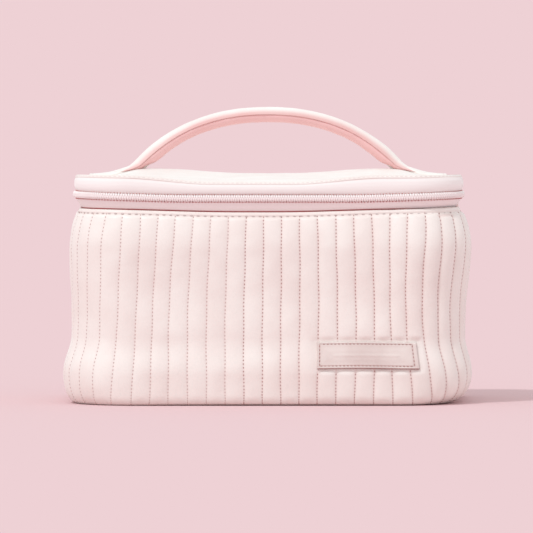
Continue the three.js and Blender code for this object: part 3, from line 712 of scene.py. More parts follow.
def seam_stitches(seams):
    """Centres, directions and normals of the stitches down each quilting seam."""
    v = np.arange(4.0, WALL_LENGTH - RIM_STITCH_DROP - 0.5, STITCH_PITCH)
    v = v[None, :] + rng.uniform(-0.5, 0.5, (len(seams), 1))
    seams = np.asarray(seams)[:, None]
    z, _, normal_out, normal_up = profile_at(v)
    s = seam_place(seams, z)
    lift = wall_lift(0.0, s, z, 1.0)[0] + 0.12
    keep = patch_press(s, z) < 0.75
    centres = wall_point(s, v, lift)
    keep = keep & (centres[..., 2] > 0.6)
    ahead = wall_point(seam_place(seams, profile_at(v + 0.5)[0]), v + 0.5, lift)
    _, _, nx, ny = outline(s)
    normal = np.stack([nx * normal_out, ny * normal_out, normal_up], -1)
    return centres[keep], (ahead - centres)[keep], normal[keep]


def rim_stitches():
    s = np.arange(-WRAP_END + 3, 2 * HALF_LOOP - WRAP_END - 3, RIM_STITCH_PITCH)
    z = np.full_like(s, RIM_Z - RIM_STITCH_DROP)
    lift = wall_offset(z) - 0.42 + wall_sway(s, z)
    along, normal = along_outline(s)
    capsules("rim_topstitch", place(s, lift, z + rim_rise(s)), along, normal, 2.0, 0.34, "body", PALE_THREAD)


def seams_to(side):
    """Seams from beside the first one to the back's side seam, closer together at the corners."""
    s, found = SEAM_PHASE, []
    pitch, corner = (LEFT_PITCH, 90) if side < 0 else (SEAM_PITCH, 82)
    while True:
        s += side * (pitch + (CORNER_PITCH - pitch) * float(smooth(abs(s), corner, corner + 16)))
        if abs(s) > WRAP_END - 5:
            return found
        found.append(s)


def walls():
    front = [-WRAP_END + SIDE_SEAM_GAP, *seams_to(-1)[::-1], SEAM_PHASE, *seams_to(1),
             WRAP_END - SIDE_SEAM_GAP]
    quilted_wall("quilted_skin_visual", front, "quilted_skin", "body")
    back = np.linspace(WRAP_END + SIDE_SEAM_GAP, 2 * HALF_LOOP - WRAP_END - SIDE_SEAM_GAP, BACK_SEAMS)
    quilted_wall("back_panel_visual", back, "back_panel", "body")
    rim_stitches()


# ---- Label patch ----
PATCH_SEAM = (1.5, 2.6, 1.9, 1.2)


def patch_point(u, w, rise):
    """A point of the patch, u and w millimetres from its left and lower edges."""
    tall = (w - (PATCH_HIGH - PATCH_LOW) / 2) / (PATCH_HIGH - PATCH_LOW)
    s = PATCH_FROM + u - 1.3 * tall * smooth(u, 30, 63)
    z = PATCH_LOW + w + 0.25 * np.sin(u / 15)
    return place(s, wall_offset(z) + wall_sway(s, z) + rise, z)


def label_patch():
    """A stitched patch with a plain raised line on it."""
    length, height = PATCH_TO - PATCH_FROM, PATCH_HIGH - PATCH_LOW
    edge = np.array([0, 0.15, 0.45, 0.85, 1.2, 1.5, 1.8, 2.2, 2.6, 3.0, 3.6])
    u = np.concatenate([edge, np.linspace(4.4, length - 4.4, 90), length - edge[::-1]])
    w = np.concatenate([edge, np.linspace(4.2, height - 4.2, 18), height - edge[::-1]])
    U, W = np.meshgrid(u, w)
    left, right, low, high = PATCH_SEAM
    inset = np.minimum(np.minimum(U, length - U), np.minimum(W, height - W))
    seam = np.minimum(np.minimum(U - left, length - right - U), np.minimum(W - low, height - high - W))
    rise = 1.9 * rounded(inset, 0.7)
    groove = np.exp(-((seam / 0.45) ** 2))
    rise = rise - 0.45 * groove - 0.15 * smooth(seam, 0.0, 1.5) + 0.35 * smooth(seam, 1.0, 5.0)
    bar = smooth(PATCH_BAR - np.abs(U - length / 2), 0, 0.8) * smooth(0.95 - np.abs(W - height / 2), 0, 0.35)
    rise = rise + 0.22 * bar + 0.12 * ripple(U, W, 26.0, 31)
    # painted shadow under the patch's lower edge and, fainter, its right edge, plus painted shade in the
    # stitch groove
    under = np.maximum(1 - smooth(W, 0.15, 0.85), 0.5 * (1 - smooth(length - U, 0.1, 0.5)))
    flat = np.stack([U, W, np.clip(0.3 * groove + under, 0, 1)], -1)
    surface = patch_point(U, W, rise - 0.3)
    obj = grid_object("label_patch_visual", surface, "body", "leathercloth", PATCH_LEATHER, flat)
    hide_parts("label_patch")
    corners = [(left, low), (length - right, low), (length - right, height - high), (left, height - high)]
    centres, ahead = [], []
    for k, start in enumerate(corners):
        end = corners[(k + 1) % 4]
        steps = np.linspace(0, 1, 60)
        across, up = (a + (b - a) * steps for a, b in zip(start, end))
        path = patch_point(across, up, 1.25)
        points, direction, _ = run_points(path, PATCH_STITCH_PITCH)
        centres.append(points)
        ahead.append(direction)
    centres, ahead = np.concatenate(centres), np.concatenate(ahead)
    normal = np.tile([[0.0, -1.0, -0.1]], (len(centres), 1))
    capsules("label_patch_stitches", centres, ahead, normal, 1.45, 0.34, "body", SHADED_SIDE_THREAD)


# ---- Zip ----
LOWER_TAPE = [(-1.6, 116.0), (-2.1, 122.4), (-2.0, 124.3), (0.3, 127.2), (TAPE_FLARE, 129.4),
              (TAPE_FLARE, 131.4)]
UPPER_TAPE = [(TAPE_FLARE, 132.6), (1.5, 134.7), (2.1, 135.5), (2.6, 136.8), (2.8, 138.4),
              (2.6, 140.4), (1.9, 142.2), (1.4, 143.2)]
CORD_SECTION = ((2.0, 0.1), (3.2, 0.2), (3.2, 1.2), (2.0, 1.7))


def zip_tapes():
    s = stations(-WRAP_END, WRAP_END, 2.0)
    section = band(LOWER_TAPE, 0.6, 0.5)
    lower = swept("zip_tape_lower_visual", section, s, "body", TAPE, lift=follow_zip)
    # Painted shadow: a band of the lower tape's outer face just above the folded rim is marked for the dark
    # rose, where the gap lies in shade.
    crease_shade = lower.data.attributes["flat"]
    values = np.zeros(len(crease_shade.data) * 3, np.float32)
    crease_shade.data.foreach_get("vector", values)
    values = values.reshape(-1, 3)
    height = np.array([v.co.z for v in lower.data.vertices]) / MM
    above = height - RIM_Z - rim_rise(values[:, 0])
    outer = np.arange(len(values)) % len(section) < len(section) // 2
    values[:, 2] = outer * smooth(above, -1.5, -0.5) * (1 - smooth(above, 1.0, 1.7))
    crease_shade.data.foreach_set("vector", values.ravel())
    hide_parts("zip_tape_lower")
    upper = swept("zip_tape_upper_visual", band(UPPER_TAPE, 0.6, 0.5), s, "lid", LID_TAPE,
                  lift=follow_lid)
    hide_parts("zip_tape_upper")
    for z, body, radius in ((ZIP_Z - CHAIN_STITCH, "body", 0.5), (ZIP_Z + CHAIN_STITCH, "lid", 0.36)):
        at = np.arange(-CHAIN_END, CHAIN_END, ZIP_STITCH_PITCH)
        along, normal = along_outline(at)
        out = TAPE_FLARE + 0.4 + mouth_bulge(at)
        capsules(f"zip_stitches_{body}", place(at, out, z + zip_rise(at)), along, normal, 0.95, radius, body,
                 DARK_THREAD)


def follow_zip(s, out, z):
    """Lets the lower tape follow the zip's rise above the rim, and its bulge round the sides."""
    share = smooth(z, 123, 130)
    return out + share * mouth_bulge(s), z + share * zip_rise(s) + (1 - share) * rim_rise(s)


def follow_lid(s, out, z):
    """Stretches the upper tape between the zip's line and the lid's folded edge."""
    share = np.clip((z - LID_TAPE_FROM) / (LID_TAPE_TO - LID_TAPE_FROM), 0, 1)
    rise = (1 - share) * zip_rise(s) + share * (fold_height(s) + 1.2 - LID_TAPE_TO)
    return out + mouth_bulge(s), z + rise


def tooth_path(up):
    """One turn of the coil's outer leg, as (offset, height): in at the tape, out over the cord, and round
    the head."""
    path = [(0.1, 1.95), (0.85, 1.85), (1.5, 1.4), (1.75, 0.8),
            (1.75, 0.1), (1.5, -0.42), (0.9, -0.5), (0.35, -0.2)]
    return np.array([(CHAIN_FACE + o, ZIP_Z + up * z) for o, z in path])


def zip_coils():
    for up, body, node, shift in ((-1, "body", "zip_coil_lower", 0.0), (1, "lid", "zip_coil_upper", 0.5)):
        s = np.arange(-CHAIN_END, CHAIN_END - TOOTH_PITCH, TOOTH_PITCH) + shift * TOOTH_PITCH
        path = tooth_path(up)
        sides, rings = 6, len(path)
        lean = np.linspace(-0.2, 0.2, rings) * up
        width = np.array([0.55, 0.66, 0.72, 0.72, 0.72, 0.66, 0.5, 0.3])
        tangent = np.gradient(path, axis=0)
        tangent /= np.hypot(*tangent.T)[:, None]
        across = np.stack([tangent[:, 1], -tangent[:, 0]], -1)
        angle = TURN * np.arange(sides) / sides
        out = path[:, 0, None] + across[:, 0, None] * WIRE * np.sin(angle)
        z = path[:, 1, None] + across[:, 1, None] * WIRE * np.sin(angle)
        along = s[:, None, None] + (lean[:, None] + width[:, None] * np.cos(angle))[None]
        points = place(along, out[None] + mouth_bulge(along), z[None] + zip_rise(along))
        one = grid_faces(rings, sides, wrap_cols=True).tolist()
        one += [list(reversed(range(sides))), list(range((rings - 1) * sides, rings * sides))]
        size = rings * sides
        faces = [[v + k * size for v in f] for k in range(len(s)) for f in one]
        coil = make_object(node + "_visual", points.reshape(-1, 3), faces, body, COIL)
        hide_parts(node)
        cord = [(o, ZIP_Z + up * z) for o, z in CORD_SECTION]
        swept(node + "_cord", cord, stations(-CORD_END, CORD_END, 2.0), body, CORD,
              lift=lambda at, o, h: (o + mouth_bulge(at), h + zip_rise(at)))


# ---- Lid ----
def fold_height(s):
    """Height of the lid's folded edge: lowest at the middle of the front, and up at the front corners."""
    s, a = unwrap(s)
    corner = np.where(s < 0, smooth(a, 35, 95), smooth(a, 15, 75))
    return LID_FOLD_Z + 4.2 * corner * (1 - 0.95 * smooth(a, 115, 215))


def lid_top_height(x, y):
    """Height of the lid's top: crowned, pulled up at the handle's feet, and up at the front corners."""
    x = np.abs(x)
    crown = 2.7 * np.exp(-((y / 38) ** 2)) * (1 - 0.55 * smooth(x, 75, 112))
    feet = 3.2 * smooth(x, 15, 75) * (1 - smooth(x, 82, 104)) * np.exp(-((y / 30) ** 2))
    corner = 3.0 * smooth(x, 30, 95) * smooth(-y, 8, 60)
    waves = 0.2 * ripple(x, y, 95.0, 41) + 0.08 * ripple(x * 0.6, y, 34.0, 42)
    return LID_TOP_Z + crown + feet + corner + waves


LID_EDGE = ((1.3, 1.9), (1.35, 0.7), (1.6, 0.1), (1.95, -0.1), (2.2, 0.1),
            (2.22, 0.5), (2.05, 0.95), (1.6, 1.45), (1.0, 1.85))


def lid_top():
    s = stations(-HALF_LOOP, HALF_LOOP, 1.6)[:-1]
    x, y, nx, ny = outline(s)
    fold = fold_height(s)
    bulge = mouth_bulge(s) * 0.8
    rows = [np.stack([x + nx * (out + bulge), y + ny * (out + bulge), fold + dz], -1) for out, dz in LID_EDGE]
    spine = np.stack([np.clip(x, -55, 55), np.zeros_like(x)], -1)
    last = LID_EDGE[-1][0] + bulge
    edge = np.stack([x + nx * last, y + ny * last], -1)
    inset = np.concatenate([np.array([0.15, 0.5, 1.0, 1.7, 2.6, 3.7, 5.0, 6.5]), np.linspace(8.5, 74.5, 26)])
    shoulder = fold + LID_EDGE[-1][1]
    reach = np.hypot(*(spine - edge).T)
    for d in inset:
        share = d / reach + (1 - inset[-1] / reach) * smooth(d, 8, inset[-1])
        point = edge + (spine - edge) * share[:, None]
        top = lid_top_height(point[:, 0], point[:, 1])
        round_off = rounded(d, 8.5)
        rows.append(np.stack([point[:, 0], point[:, 1], shoulder + (top - shoulder) * round_off], -1))
    points = np.stack(rows)
    along = np.broadcast_to(s, points.shape[:2])
    depth = np.broadcast_to(np.arange(len(rows))[:, None], points.shape[:2])
    # painted shade: the rows under the lid's folded edge are a little darker
    crease_shade = np.zeros(points.shape[:2])
    crease_shade[1:4] = 0.15
    flat = np.stack([along, depth, crease_shade], -1)
    obj = grid_object("lid_top_panel_visual", points, "lid", "leathercloth", LEATHER, flat, wrap_cols=True)
    merge_close(obj)
    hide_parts("lid_top_panel")
    at = np.arange(-HALF_LOOP, HALF_LOOP, EDGE_STITCH_PITCH)
    along, normal = along_outline(at)
    out = 1.93 + mouth_bulge(at) * 0.8
    capsules("lid_edge_stitches", place(at, out, fold_height(at) + 1.15), along, normal, 1.9, 0.18, "lid",
             EDGE_THREAD)


def merge_close(obj, distance=0.02):
    work = bmesh.new()
    work.from_mesh(obj.data)
    bmesh.ops.remove_doubles(work, verts=work.verts, dist=distance * MM)
    work.to_mesh(obj.data)
    work.free()


def shrinking_rings(offset):
    """A function that gives the mouth's outline, offset, and shrunk by a share towards the middle."""
    x, y, nx, ny = outline(stations(-HALF_LOOP, HALF_LOOP, 4.0)[:-1])
    spine = np.stack([np.clip(x, -50, 50), np.zeros_like(x)], -1)
    edge = np.stack([x + nx * offset, y + ny * offset], -1)
    return lambda share: spine + (edge - spine) * (1 - share)


def at_height(ring, z):
    """Frame points of a flat ring at height z, or at one height for each point."""
    return np.column_stack([ring, np.broadcast_to(z, len(ring))])


def pillow(name, offset, low, thickness, crown, body, node, slot, material, seed):
    """A flat sheet or pad with the mouth's outline, rounded at its edge and a little uneven."""
    ring = shrinking_rings(offset)
    rows = [at_height(ring(share), low) for share in (1.0, 0.8, 0.5, 0.2, 0.05, 0.012)]
    for share in (0.0, 0.004, 0.012, 0.03, 0.07, 0.14, 0.25, 0.4, 0.6, 0.8, 1.0):
        point = ring(share)
        rise = thickness * rounded(share, 0.012)
        uneven = 0.35 * ripple(point[:, 0], point[:, 1], 60.0, seed)
        wave = crown * (smooth(share, 0.0, 0.3) + uneven)
        rows.append(at_height(point, low + rise + wave * (share > 0.02)))
    points = np.stack(rows)
    obj = grid_object(name, points, body, slot, material, points * [1, 1, 0], wrap_cols=True)
    merge_close(obj)
    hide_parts(node)
    return obj


def lid_foam():
    """The foam that pads the lid, just under its cover."""
    ring, low = shrinking_rings(-1.6), 142.4
    rows = [at_height(ring(share), low) for share in (1.0, 0.6, 0.3, 0.1, 0.0)]
    for share in (0.0, 0.02, 0.05, 0.1, 0.2, 0.35, 0.5, 0.75, 1.0):
        point = ring(share)
        top = np.maximum(lid_top_height(point[:, 0], point[:, 1]) - 1.1, low + 0.15)
        rise = rounded(share, 0.12)
        rows.append(at_height(point, low + 0.1 + (top - low - 0.1) * rise))
    points = np.stack(rows)
    obj = grid_object("lid_foam_visual", points, "lid", "foam", FOAM, points * [1, 1, 0], wrap_cols=True)
    merge_close(obj)
    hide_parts("lid_foam")


def linings():
    floor = pillow("base_lining_visual", -3.6, 6.6, 0.6, 0.5, "body", "base_lining", "satin_lining",
                   SATIN, 51)
    ceiling = pillow("lid_lining_visual", -1.4, 140.5, -0.6, -0.5, "lid", "lid_lining", "satin_lining",
                     SATIN, 52)
    s = stations(-HALF_LOOP, HALF_LOOP, 1.5)[:-1]
    path = band([(-3.6, 7.8), (-3.6, 123.6)], 0.5, 3.0)

    def drape(along, out, z):
        free = smooth(z, 8, 30) * (1 - smooth(z, 100, 122))
        folds = 0.55 * np.sin(along / 4.3 + 1.5 * np.sin(along / 23) + z / 70)
        folds = folds + 0.5 * ripple(along, z, 55.0, 53)
        return out + free * folds - 0.4, z

    wall = swept("wall_lining_visual", path, s, "body", SATIN, wrap=True, lift=drape)
    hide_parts("wall_lining")


def bindings():
    s = stations(-HALF_LOOP, HALF_LOOP, 2.5)[:-1]
    for name, node, out, z, body in (("base_binding_visual", "base_binding", -5.0, 5.3, "body"),
                                     ("lid_binding_visual", "lid_binding", -1.75, 138.75, "lid")):
        angle = TURN * np.arange(10) / 10
        section = np.stack([out + 0.85 * np.cos(angle), z + 0.95 * np.sin(angle)], -1)
        obj = swept(name, section, s, body, BINDING, wrap=True)
        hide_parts(node)


def hinge():
    half = STRAIGHT_X - 0.3
    s = stations(HALF_LOOP - half, HALF_LOOP + half, 3.0)
    path = [(0.75, 121.4), (1.5, 122.2), (STRIP_FACE, 124.0), (STRIP_FACE, 140.0), (1.5, 142.6)]
    strip = swept("hinge_strip_visual", band(path, 1.0, 0.6), s, None, PLAIN_LEATHER)
    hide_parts("hinge_strip_lower", "hinge_strip_upper")
    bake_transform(strip)
    inner = band([(0.2, HINGE_Z + 0.4), (0.25, 137.0), (0.0, 143.0)], 1.0, 1.0)
    obj = swept("lid_back_band_visual", inner, s, "lid", PLAIN_LEATHER)
    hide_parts("lid_back_band")
    for name, z, body in (("hinge_stitches_lower", 124.0, "body"), ("hinge_stitches_upper", 140.6, "lid")):
        at = np.arange(HALF_LOOP - half + 2, HALF_LOOP + half - 1, EDGE_STITCH_PITCH)
        along, normal = along_outline(at)
        capsules(name, place(at, STRIP_FACE + 0.02, z), along, normal, 2.0, 0.24, body, PALE_THREAD)


# ---- Handle ----
HANDLE_POINTS = ((0.0, 184.2), (42.0, 184.2), (64.5, 168.5), (81.5, 152.1))
FOOT_POINTS = ((81.5, 152.1), (84.3, 149.4), (99.0, 146.7))


def handle_line():
    """The handle's centre line from foot to foot, and its half width and half height along it."""
    t = np.linspace(0, 1, 76)[:, None]
    p = np.array(HANDLE_POINTS)
    half = (1 - t) ** 3 * p[0] + 3 * t * (1 - t) ** 2 * p[1] + 3 * t**2 * (1 - t) * p[2] + t**3 * p[3]
    u = np.linspace(0, 1, 15)[1:, None]
    q = np.array(FOOT_POINTS)
    foot = (1 - u) ** 2 * q[0] + 2 * u * (1 - u) * q[1] + u**2 * q[2]
    line = np.concatenate([half, foot])
    flat = np.concatenate([np.zeros(len(half)), u[:, 0]])
    spread = smooth(line[:, 0], 52, 82)
    wide = 5.0 + 1.5 * spread + 2.2 * smooth(flat, 0, 1)
    deep = (4.95 + 0.4 * spread) * (1 - 0.84 * smooth(flat, 0.1, 1.0))
    deep = deep * (1 - 0.12 * smooth(line[:, 0], 73, 82))
    mirror = np.concatenate([(line * [-1, 1])[::-1], line[1:]])
    both = [np.concatenate([column[::-1], column[1:]]) for column in (wide, deep)]
    return np.stack([mirror[:, 0], np.zeros(len(mirror)), mirror[:, 1]], -1), *both


def handle():
    line, wide, deep = handle_line()
    tangent = np.gradient(line, axis=0)
    tangent /= np.linalg.norm(tangent, axis=1, keepdims=True)
    outward = np.stack([-tangent[:, 2], np.zeros(len(line)), tangent[:, 0]], -1)
    length = np.concatenate([[0], np.cumsum(np.linalg.norm(np.diff(line, axis=0), axis=1))])
    for node, sign, material in (("handle_cover_outer", 1, HANDLE_LEATHER),
                                 ("handle_cover_inner", -1, SHADED_UNDERSIDE_LEATHER)):
        arc = np.linspace(0, math.pi, 27)
        bump = 0.12 * ripple(length[:, None], arc[None] * 4, 22.0, 61 + sign)
        lip = 0.28 * np.exp(-((np.sin(arc)[None] / 0.13) ** 2)) * (1 if sign > 0 else -0.6)
        girth = 1 + (bump + lip) / 5
        y = np.cos(arc)[None] * wide[:, None] * girth
        thin = 1 - (0.0 if sign > 0 else 0.45) * smooth(np.abs(line[:, 0]), 75, 82)
        out = sign * np.sin(arc)[None] * (deep * thin)[:, None] * girth
        points = line[:, None, :] + outward[:, None, :] * out[..., None] + [0.0, 1.0, 0.0] * y[..., None]
        inner = (line[:, None, :] + (points - line[:, None, :]) * 0.82)[:, ::-1]
        loop = np.concatenate([points, inner], 1)
        count = loop.shape[1]
        faces = grid_faces(len(line), count, wrap_cols=True).tolist()
        for first in (0, (len(line) - 1) * count):
            for k in range(len(arc) - 1):
                quad = [first + k, first + k + 1, first + count - 2 - k, first + count - 1 - k]
                faces.append(quad if first == 0 else quad[::-1])
        # painted shade: the cover turns pinker and darker towards its side seam
        seam_shade = 1 - smooth(np.sin(arc), 0.15, 0.85)
        shade = np.tile(np.concatenate([seam_shade, seam_shade]), (len(line), 1))
        flat = np.stack([loop[..., 0], loop[..., 1], shade], -1).reshape(-1, 3)
        obj = make_object(node + "_visual", loop.reshape(-1, 3), faces, None, material, flat)
        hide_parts(node)
        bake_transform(obj)
    core = tube(line[12:-12], np.minimum(wide, deep)[12:-12] * 0.74, 12)
    count = len(core)
    faces = grid_faces(count, 12, wrap_cols=True).tolist()
    faces += [list(reversed(range(12))), list(range((count - 1) * 12, count * 12))]
    obj = make_object("handle_core_visual", core.reshape(-1, 3), faces, None, FOAM)
    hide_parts("handle_core")
    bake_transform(obj)


def tab_height(x, y):
    """Height of a foot's top, x from the bag's middle: a ramp from the handle to the lid's end."""
    ramp = 1.2 * smooth(113 - x, 0, 26) * np.exp(-((y / 8.0) ** 4))
    return lid_top_height(x, y) + 1.7 - 0.6 * smooth(x, 96, 116) + ramp


def handle_tabs():
    """The handle's feet: a tongue that rises under the handle and lies flat towards the lid's end."""
    a = np.concatenate([[-1.0, -0.985, -0.95], np.linspace(-0.9, 0.9, 44), [0.95, 0.985, 1.0]])
    b = np.concatenate([[-1.0, -0.975, -0.92], np.linspace(-0.85, 0.85, 30), [0.92, 0.975, 1.0]])
    A, B = np.meshgrid(a, b)
    start, end = TAB_FROM - 3.0, TAB_TO - 1.0
    x = (start + end) / 2 + A * (end - start) / 2
    width = 6.4 + 3.6 * smooth(x, 86, 99)
    y = B * width * np.sqrt(np.clip(1 - 0.22 * np.abs(A) ** 12, 0, 1))
    inset = np.minimum((1 - np.abs(B)) * width, (1 - np.abs(A)) * (end - start) / 2)
    rim = rounded(inset, 1.3)
    groove = 0.3 * np.exp(-(((inset - 2.3) / 0.45) ** 2)) * smooth(x, 92, 97)
    low = lid_top_height(x, y) + 0.05
    top = low + (tab_height(x, y) - groove - low) * rim
    far = end - TAB_SEAM_INSET
    steps = np.linspace(0, 1, 20)
    path = [(TAB_SEAM_FROM + (far - TAB_SEAM_FROM) * t, -TAB_SEAM_Y) for t in steps]
    path += [(far, -TAB_SEAM_Y + 2 * TAB_SEAM_Y * t) for t in steps]
    path += [(far - (far - TAB_SEAM_FROM) * t, TAB_SEAM_Y) for t in steps]
    stitch = np.array(path)
    for side, name in ((-1, "left"), (1, "right")):
        points = np.stack([side * x, y, top], -1)
        # painted shade: the tab darkens in its stitch groove
        flat = np.stack([x, y, np.clip(groove / 0.6, 0, 1)], -1)
        obj = grid_object(f"handle_tab_{name}_visual", points, "lid", "leathercloth", LEATHER, flat)
        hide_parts(f"handle_tab_{name}")
        z = tab_height(stitch[:, 0], stitch[:, 1]) - 0.2
        run = np.stack([side * stitch[:, 0], stitch[:, 1], z], -1)
        centres, ahead, _ = run_points(run, 2.5)
        normal = np.tile([[0.0, 0.0, 1.0]], (len(centres), 1))
        capsules(f"handle_tab_stitches_{name}", centres, ahead, normal, 1.7, 0.24, "lid", EDGE_THREAD)


# ---- Slider and pull ----
def at_slider(points):
    """Turns points given as (out from the mouth, along the chain, above its middle) into the frame."""
    points = np.asarray(points, float)
    angle = math.radians(SLIDER_ANGLE)
    out, along, up = points[..., 0], points[..., 1], points[..., 2]
    x = STRAIGHT_X + (CORNER + out) * math.cos(angle) - along * math.sin(angle)
    y = STRAIGHT_Y + (CORNER + out) * math.sin(angle) + along * math.cos(angle)
    return np.stack([x, y, ZIP_Z + up], -1)


def slab(outline_points, face, thickness, bevel=0.3):
    """A flat plate with rounded edges: rings of points from its back face to its front."""
    shape = np.asarray(outline_points, float)
    middle = shape.mean(0)
    rings = []
    for depth, shrink in ((0.0, 1.0), (0.0, 0.35), (0.3, 0.0), (1.0 - 0.3, 0.0), (1.0, 0.35), (1.0, 1.0)):
        radius = np.hypot(*(shape - middle).T)
        scale = 1 - bevel * shrink / radius if shrink < 1 else np.full(len(shape), 0.0)
        ring = middle + (shape - middle) * np.asarray(scale)[:, None]
        out = face + thickness * depth
        rings.append(np.stack([np.full(len(shape), out), ring[:, 0], ring[:, 1]], -1))
    return np.stack(rings)


def ellipse_shape(length, width, power=3.0, count=40, narrow=0.0):
    angle = TURN * np.arange(count) / count
    c, s = np.cos(angle), np.sin(angle)
    x = np.sign(c) * np.abs(c) ** (2 / power) * length / 2
    y = np.sign(s) * np.abs(s) ** (2 / power) * width / 2 * (1 - narrow * c)
    return np.stack([x, y], -1)


def slider():
    verts, faces = [], []

    def put(grid, **wraps):
        start = sum(len(v) for v in verts)
        rows, cols = grid.shape[:2]
        verts.append(at_slider(grid).reshape(-1, 3))
        faces.extend(grid_faces(rows, cols, start=start, **wraps).tolist())

    put(slab(ellipse_shape(9.0, 8.0, 3.2, 48, 0.12), PLATE_FACE - 1.2, 1.2), wrap_cols=True)
    put(slab(ellipse_shape(8.6, 5.6, 3.0, 40, 0.1), -1.4, 1.0), wrap_cols=True)
    web = ellipse_shape(2.6, 0.6, 2.2, 16)
    ends = [np.stack([np.full(len(web), o), web[:, 0] + 2.7, web[:, 1]], -1) for o in (-1.0, 4.6)]
    put(np.stack(ends), wrap_cols=True)
    arch = [(PLATE_FACE - 0.3, -3.4), (7.1, -3.5), (7.9, -3.15), (BAR_OUT, -2.2), (BAR_OUT, 0.0),
            (BAR_OUT, 2.2), (7.9, 3.15), (7.1, 3.5), (PLATE_FACE - 0.3, 3.4)]
    line = np.array([(o, a, 0.0) for o, a in arch])
    dense = np.stack([np.interp(np.linspace(0, 8, 33), range(9), line[:, k]) for k in range(3)], -1)
    put(tube(dense, 0.62, 10, squash=1.0), wrap_cols=True)
    obj = make_object("zip_slider_visual", np.concatenate(verts), faces, "slider", ENAMEL)
    merge_close(obj)
    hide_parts("zip_slider")

    bend = 1.8
    turn = np.linspace(0, math.pi, 13)
    loop = [(BAR_OUT + bend * math.cos(t), 0.0, bend * math.sin(t)) for t in turn]
    loop += [(BAR_OUT + bend * math.cos(t), 0.0, bend * math.sin(t) - 5.0) for t in turn + math.pi]
    ring = tube(loop, 0.58, 10, closed=True)
    obj = grid_object("pull_bail_visual", at_slider(ring), "pull", "enamelled_metal", ENAMEL,
                      wrap_rows=True, wrap_cols=True)
    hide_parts("pull_bail")
    pull_tab()


def pull_tab():
    """The tab that the fingers hold: a flat tongue with a raised border and a hole for the bail."""
    hole_z, hole = -7.1, 1.5
    top, length = hole_z + hole + 1.4, 30.0
    count = 64
    angle = TURN * np.arange(count) / count
    half = [2.9, 2.9, 3.1, 3.9, 4.5, 4.5, 4.5, 4.5, 4.5]
    middle = top - length / 2

    def shape(grow):
        z = middle + (length / 2 + grow) * np.sin(angle)
        share = (top - z) / length
        wide = np.interp(share, np.linspace(0, 1, len(half)), half) + grow
        end = np.sqrt(np.clip(1 - (np.abs((z - middle) / (length / 2 + grow))) ** 9, 0, 1))
        return np.stack([np.sign(np.cos(angle)) * wide * end, z], -1)

    ring_hole = np.stack([hole * np.cos(angle), hole_z + hole * np.sin(angle)], -1)
    rings = []
    for shrink, depth in ((None, 0.0), (0.75, 0.0), (0.3, 0.05), (0.0, 0.35), (0.0, 0.65),
                          (0.3, 0.95), (0.75, 1.0), (1.3, 0.82), (None, 0.82)):
        flat = ring_hole if shrink is None else shape(-shrink)
        out = BAR_OUT - 0.7 + 1.4 * depth
        rings.append(np.stack([np.full(count, out), flat[:, 0], flat[:, 1]], -1))
    rings.append(rings[0])
    obj = grid_object("pull_tab_visual", at_slider(np.stack(rings)), "pull", "enamelled_metal", ENAMEL,
                      wrap_cols=True)
    merge_close(obj)
    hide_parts("pull_tab")


# ---- Base ----
def base():
    pillow("base_panel_visual", -9.4, 1.15, -1.15, 0.0, "body", "base_panel", "leathercloth",
           PLAIN_LEATHER, 71)


def finish_inner_nodes():
    for node, material in (("base_board", BOARD), ("lid_board", BOARD), ("base_foam", FOAM),
                           ("wall_wadding", FOAM), ("back_wadding", FOAM)):
        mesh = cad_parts[node].data
        for index in range(len(mesh.materials)):
            mesh.materials[index] = material


# ---- Stage ----
LOOK_AT = (-1.0, -75.0, 89.0)
DISTANCE = 9000.0
ELEVATION = 2.2
FRAME_WIDTH = 341.0
SENSOR = 36.0
CLIP_END = 200.0
SUN_ANGLE = 5.0
FLOOR_REACH = 120.0
FLOOR_DROP = 0.0001
BACKDROP = srgb(238, 209, 213)
KEY_FROM = (-0.42, -0.5, 0.95)
KEY_ENERGY = 1.3
KEY_COLOUR = (0.88, 0.95, 0.97)
FILL = (0.86, 0.91, 0.93, 1.0)


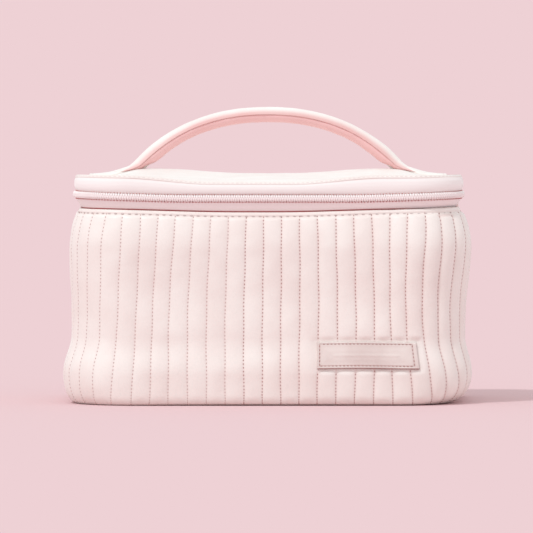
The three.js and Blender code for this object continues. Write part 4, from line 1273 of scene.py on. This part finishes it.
def camera():
    data = bpy.data.cameras.new("camera")
    data.sensor_width = SENSOR
    data.lens = data.sensor_width * DISTANCE / FRAME_WIDTH
    data.clip_end = CLIP_END
    obj = bpy.data.objects.new("camera", data)
    bpy.context.scene.collection.objects.link(obj)
    angle = math.radians(ELEVATION)
    x, y, z = LOOK_AT
    obj.location = (x * MM, (y - DISTANCE * math.cos(angle)) * MM, (z + DISTANCE * math.sin(angle)) * MM)
    obj.rotation_euler = (math.pi / 2 - angle, 0, 0)
    bpy.context.scene.camera = obj


def key_light():
    data = bpy.data.lights.new("key_light", "SUN")
    data.energy = KEY_ENERGY
    data.color = KEY_COLOUR
    data.angle = math.radians(SUN_ANGLE)
    obj = bpy.data.objects.new("key_light", data)
    obj.rotation_euler = Vector(KEY_FROM).to_track_quat("Z", "Y").to_euler()
    bpy.context.scene.collection.objects.link(obj)


def stage():
    """A pink paper floor under even pale light; the distance has the colour that the floor comes to."""
    mesh = bpy.data.meshes.new("floor")
    reach = FLOOR_REACH
    corners = [(-reach, -reach, 0), (reach, -reach, 0), (reach, reach, 0), (-reach, reach, 0)]
    mesh.from_pydata(corners, [], [(0, 1, 2, 3)])
    key = [KEY_ENERGY * c * Vector(KEY_FROM).normalized().z / math.pi for c in KEY_COLOUR]
    paper = tuple(b / (f + k) for b, f, k in zip(BACKDROP, FILL, key)) + (1.0,)
    n = Nodes("floor_paper")
    n.set(Base_Color=paper, Roughness=0.95, Specular_IOR_Level=0.0)
    mesh.materials.append(n.material)
    floor = bpy.data.objects.new("floor", mesh)
    floor.location.z = -FLOOR_DROP
    bpy.context.scene.collection.objects.link(floor)
    world = bpy.data.worlds.new("studio")
    world.use_nodes = True
    tree = world.node_tree
    light, distance = tree.nodes["Background"], tree.nodes.new("ShaderNodeBackground")
    light.inputs["Color"].default_value = FILL
    distance.inputs["Color"].default_value = BACKDROP
    ray, either = tree.nodes.new("ShaderNodeLightPath"), tree.nodes.new("ShaderNodeMixShader")
    tree.links.new(ray.outputs["Is Camera Ray"], either.inputs[0])
    tree.links.new(light.outputs[0], either.inputs[1])
    tree.links.new(distance.outputs[0], either.inputs[2])
    tree.links.new(either.outputs[0], tree.nodes["World Output"].inputs[0])
    bpy.context.scene.world = world
    bpy.context.scene.view_settings.view_transform = "Standard"


camera()
walls()
label_patch()
zip_tapes()
zip_coils()
lid_top()
lid_foam()
linings()
bindings()
hinge()
handle()
handle_tabs()
slider()
base()
finish_inner_nodes()
key_light()
stage()
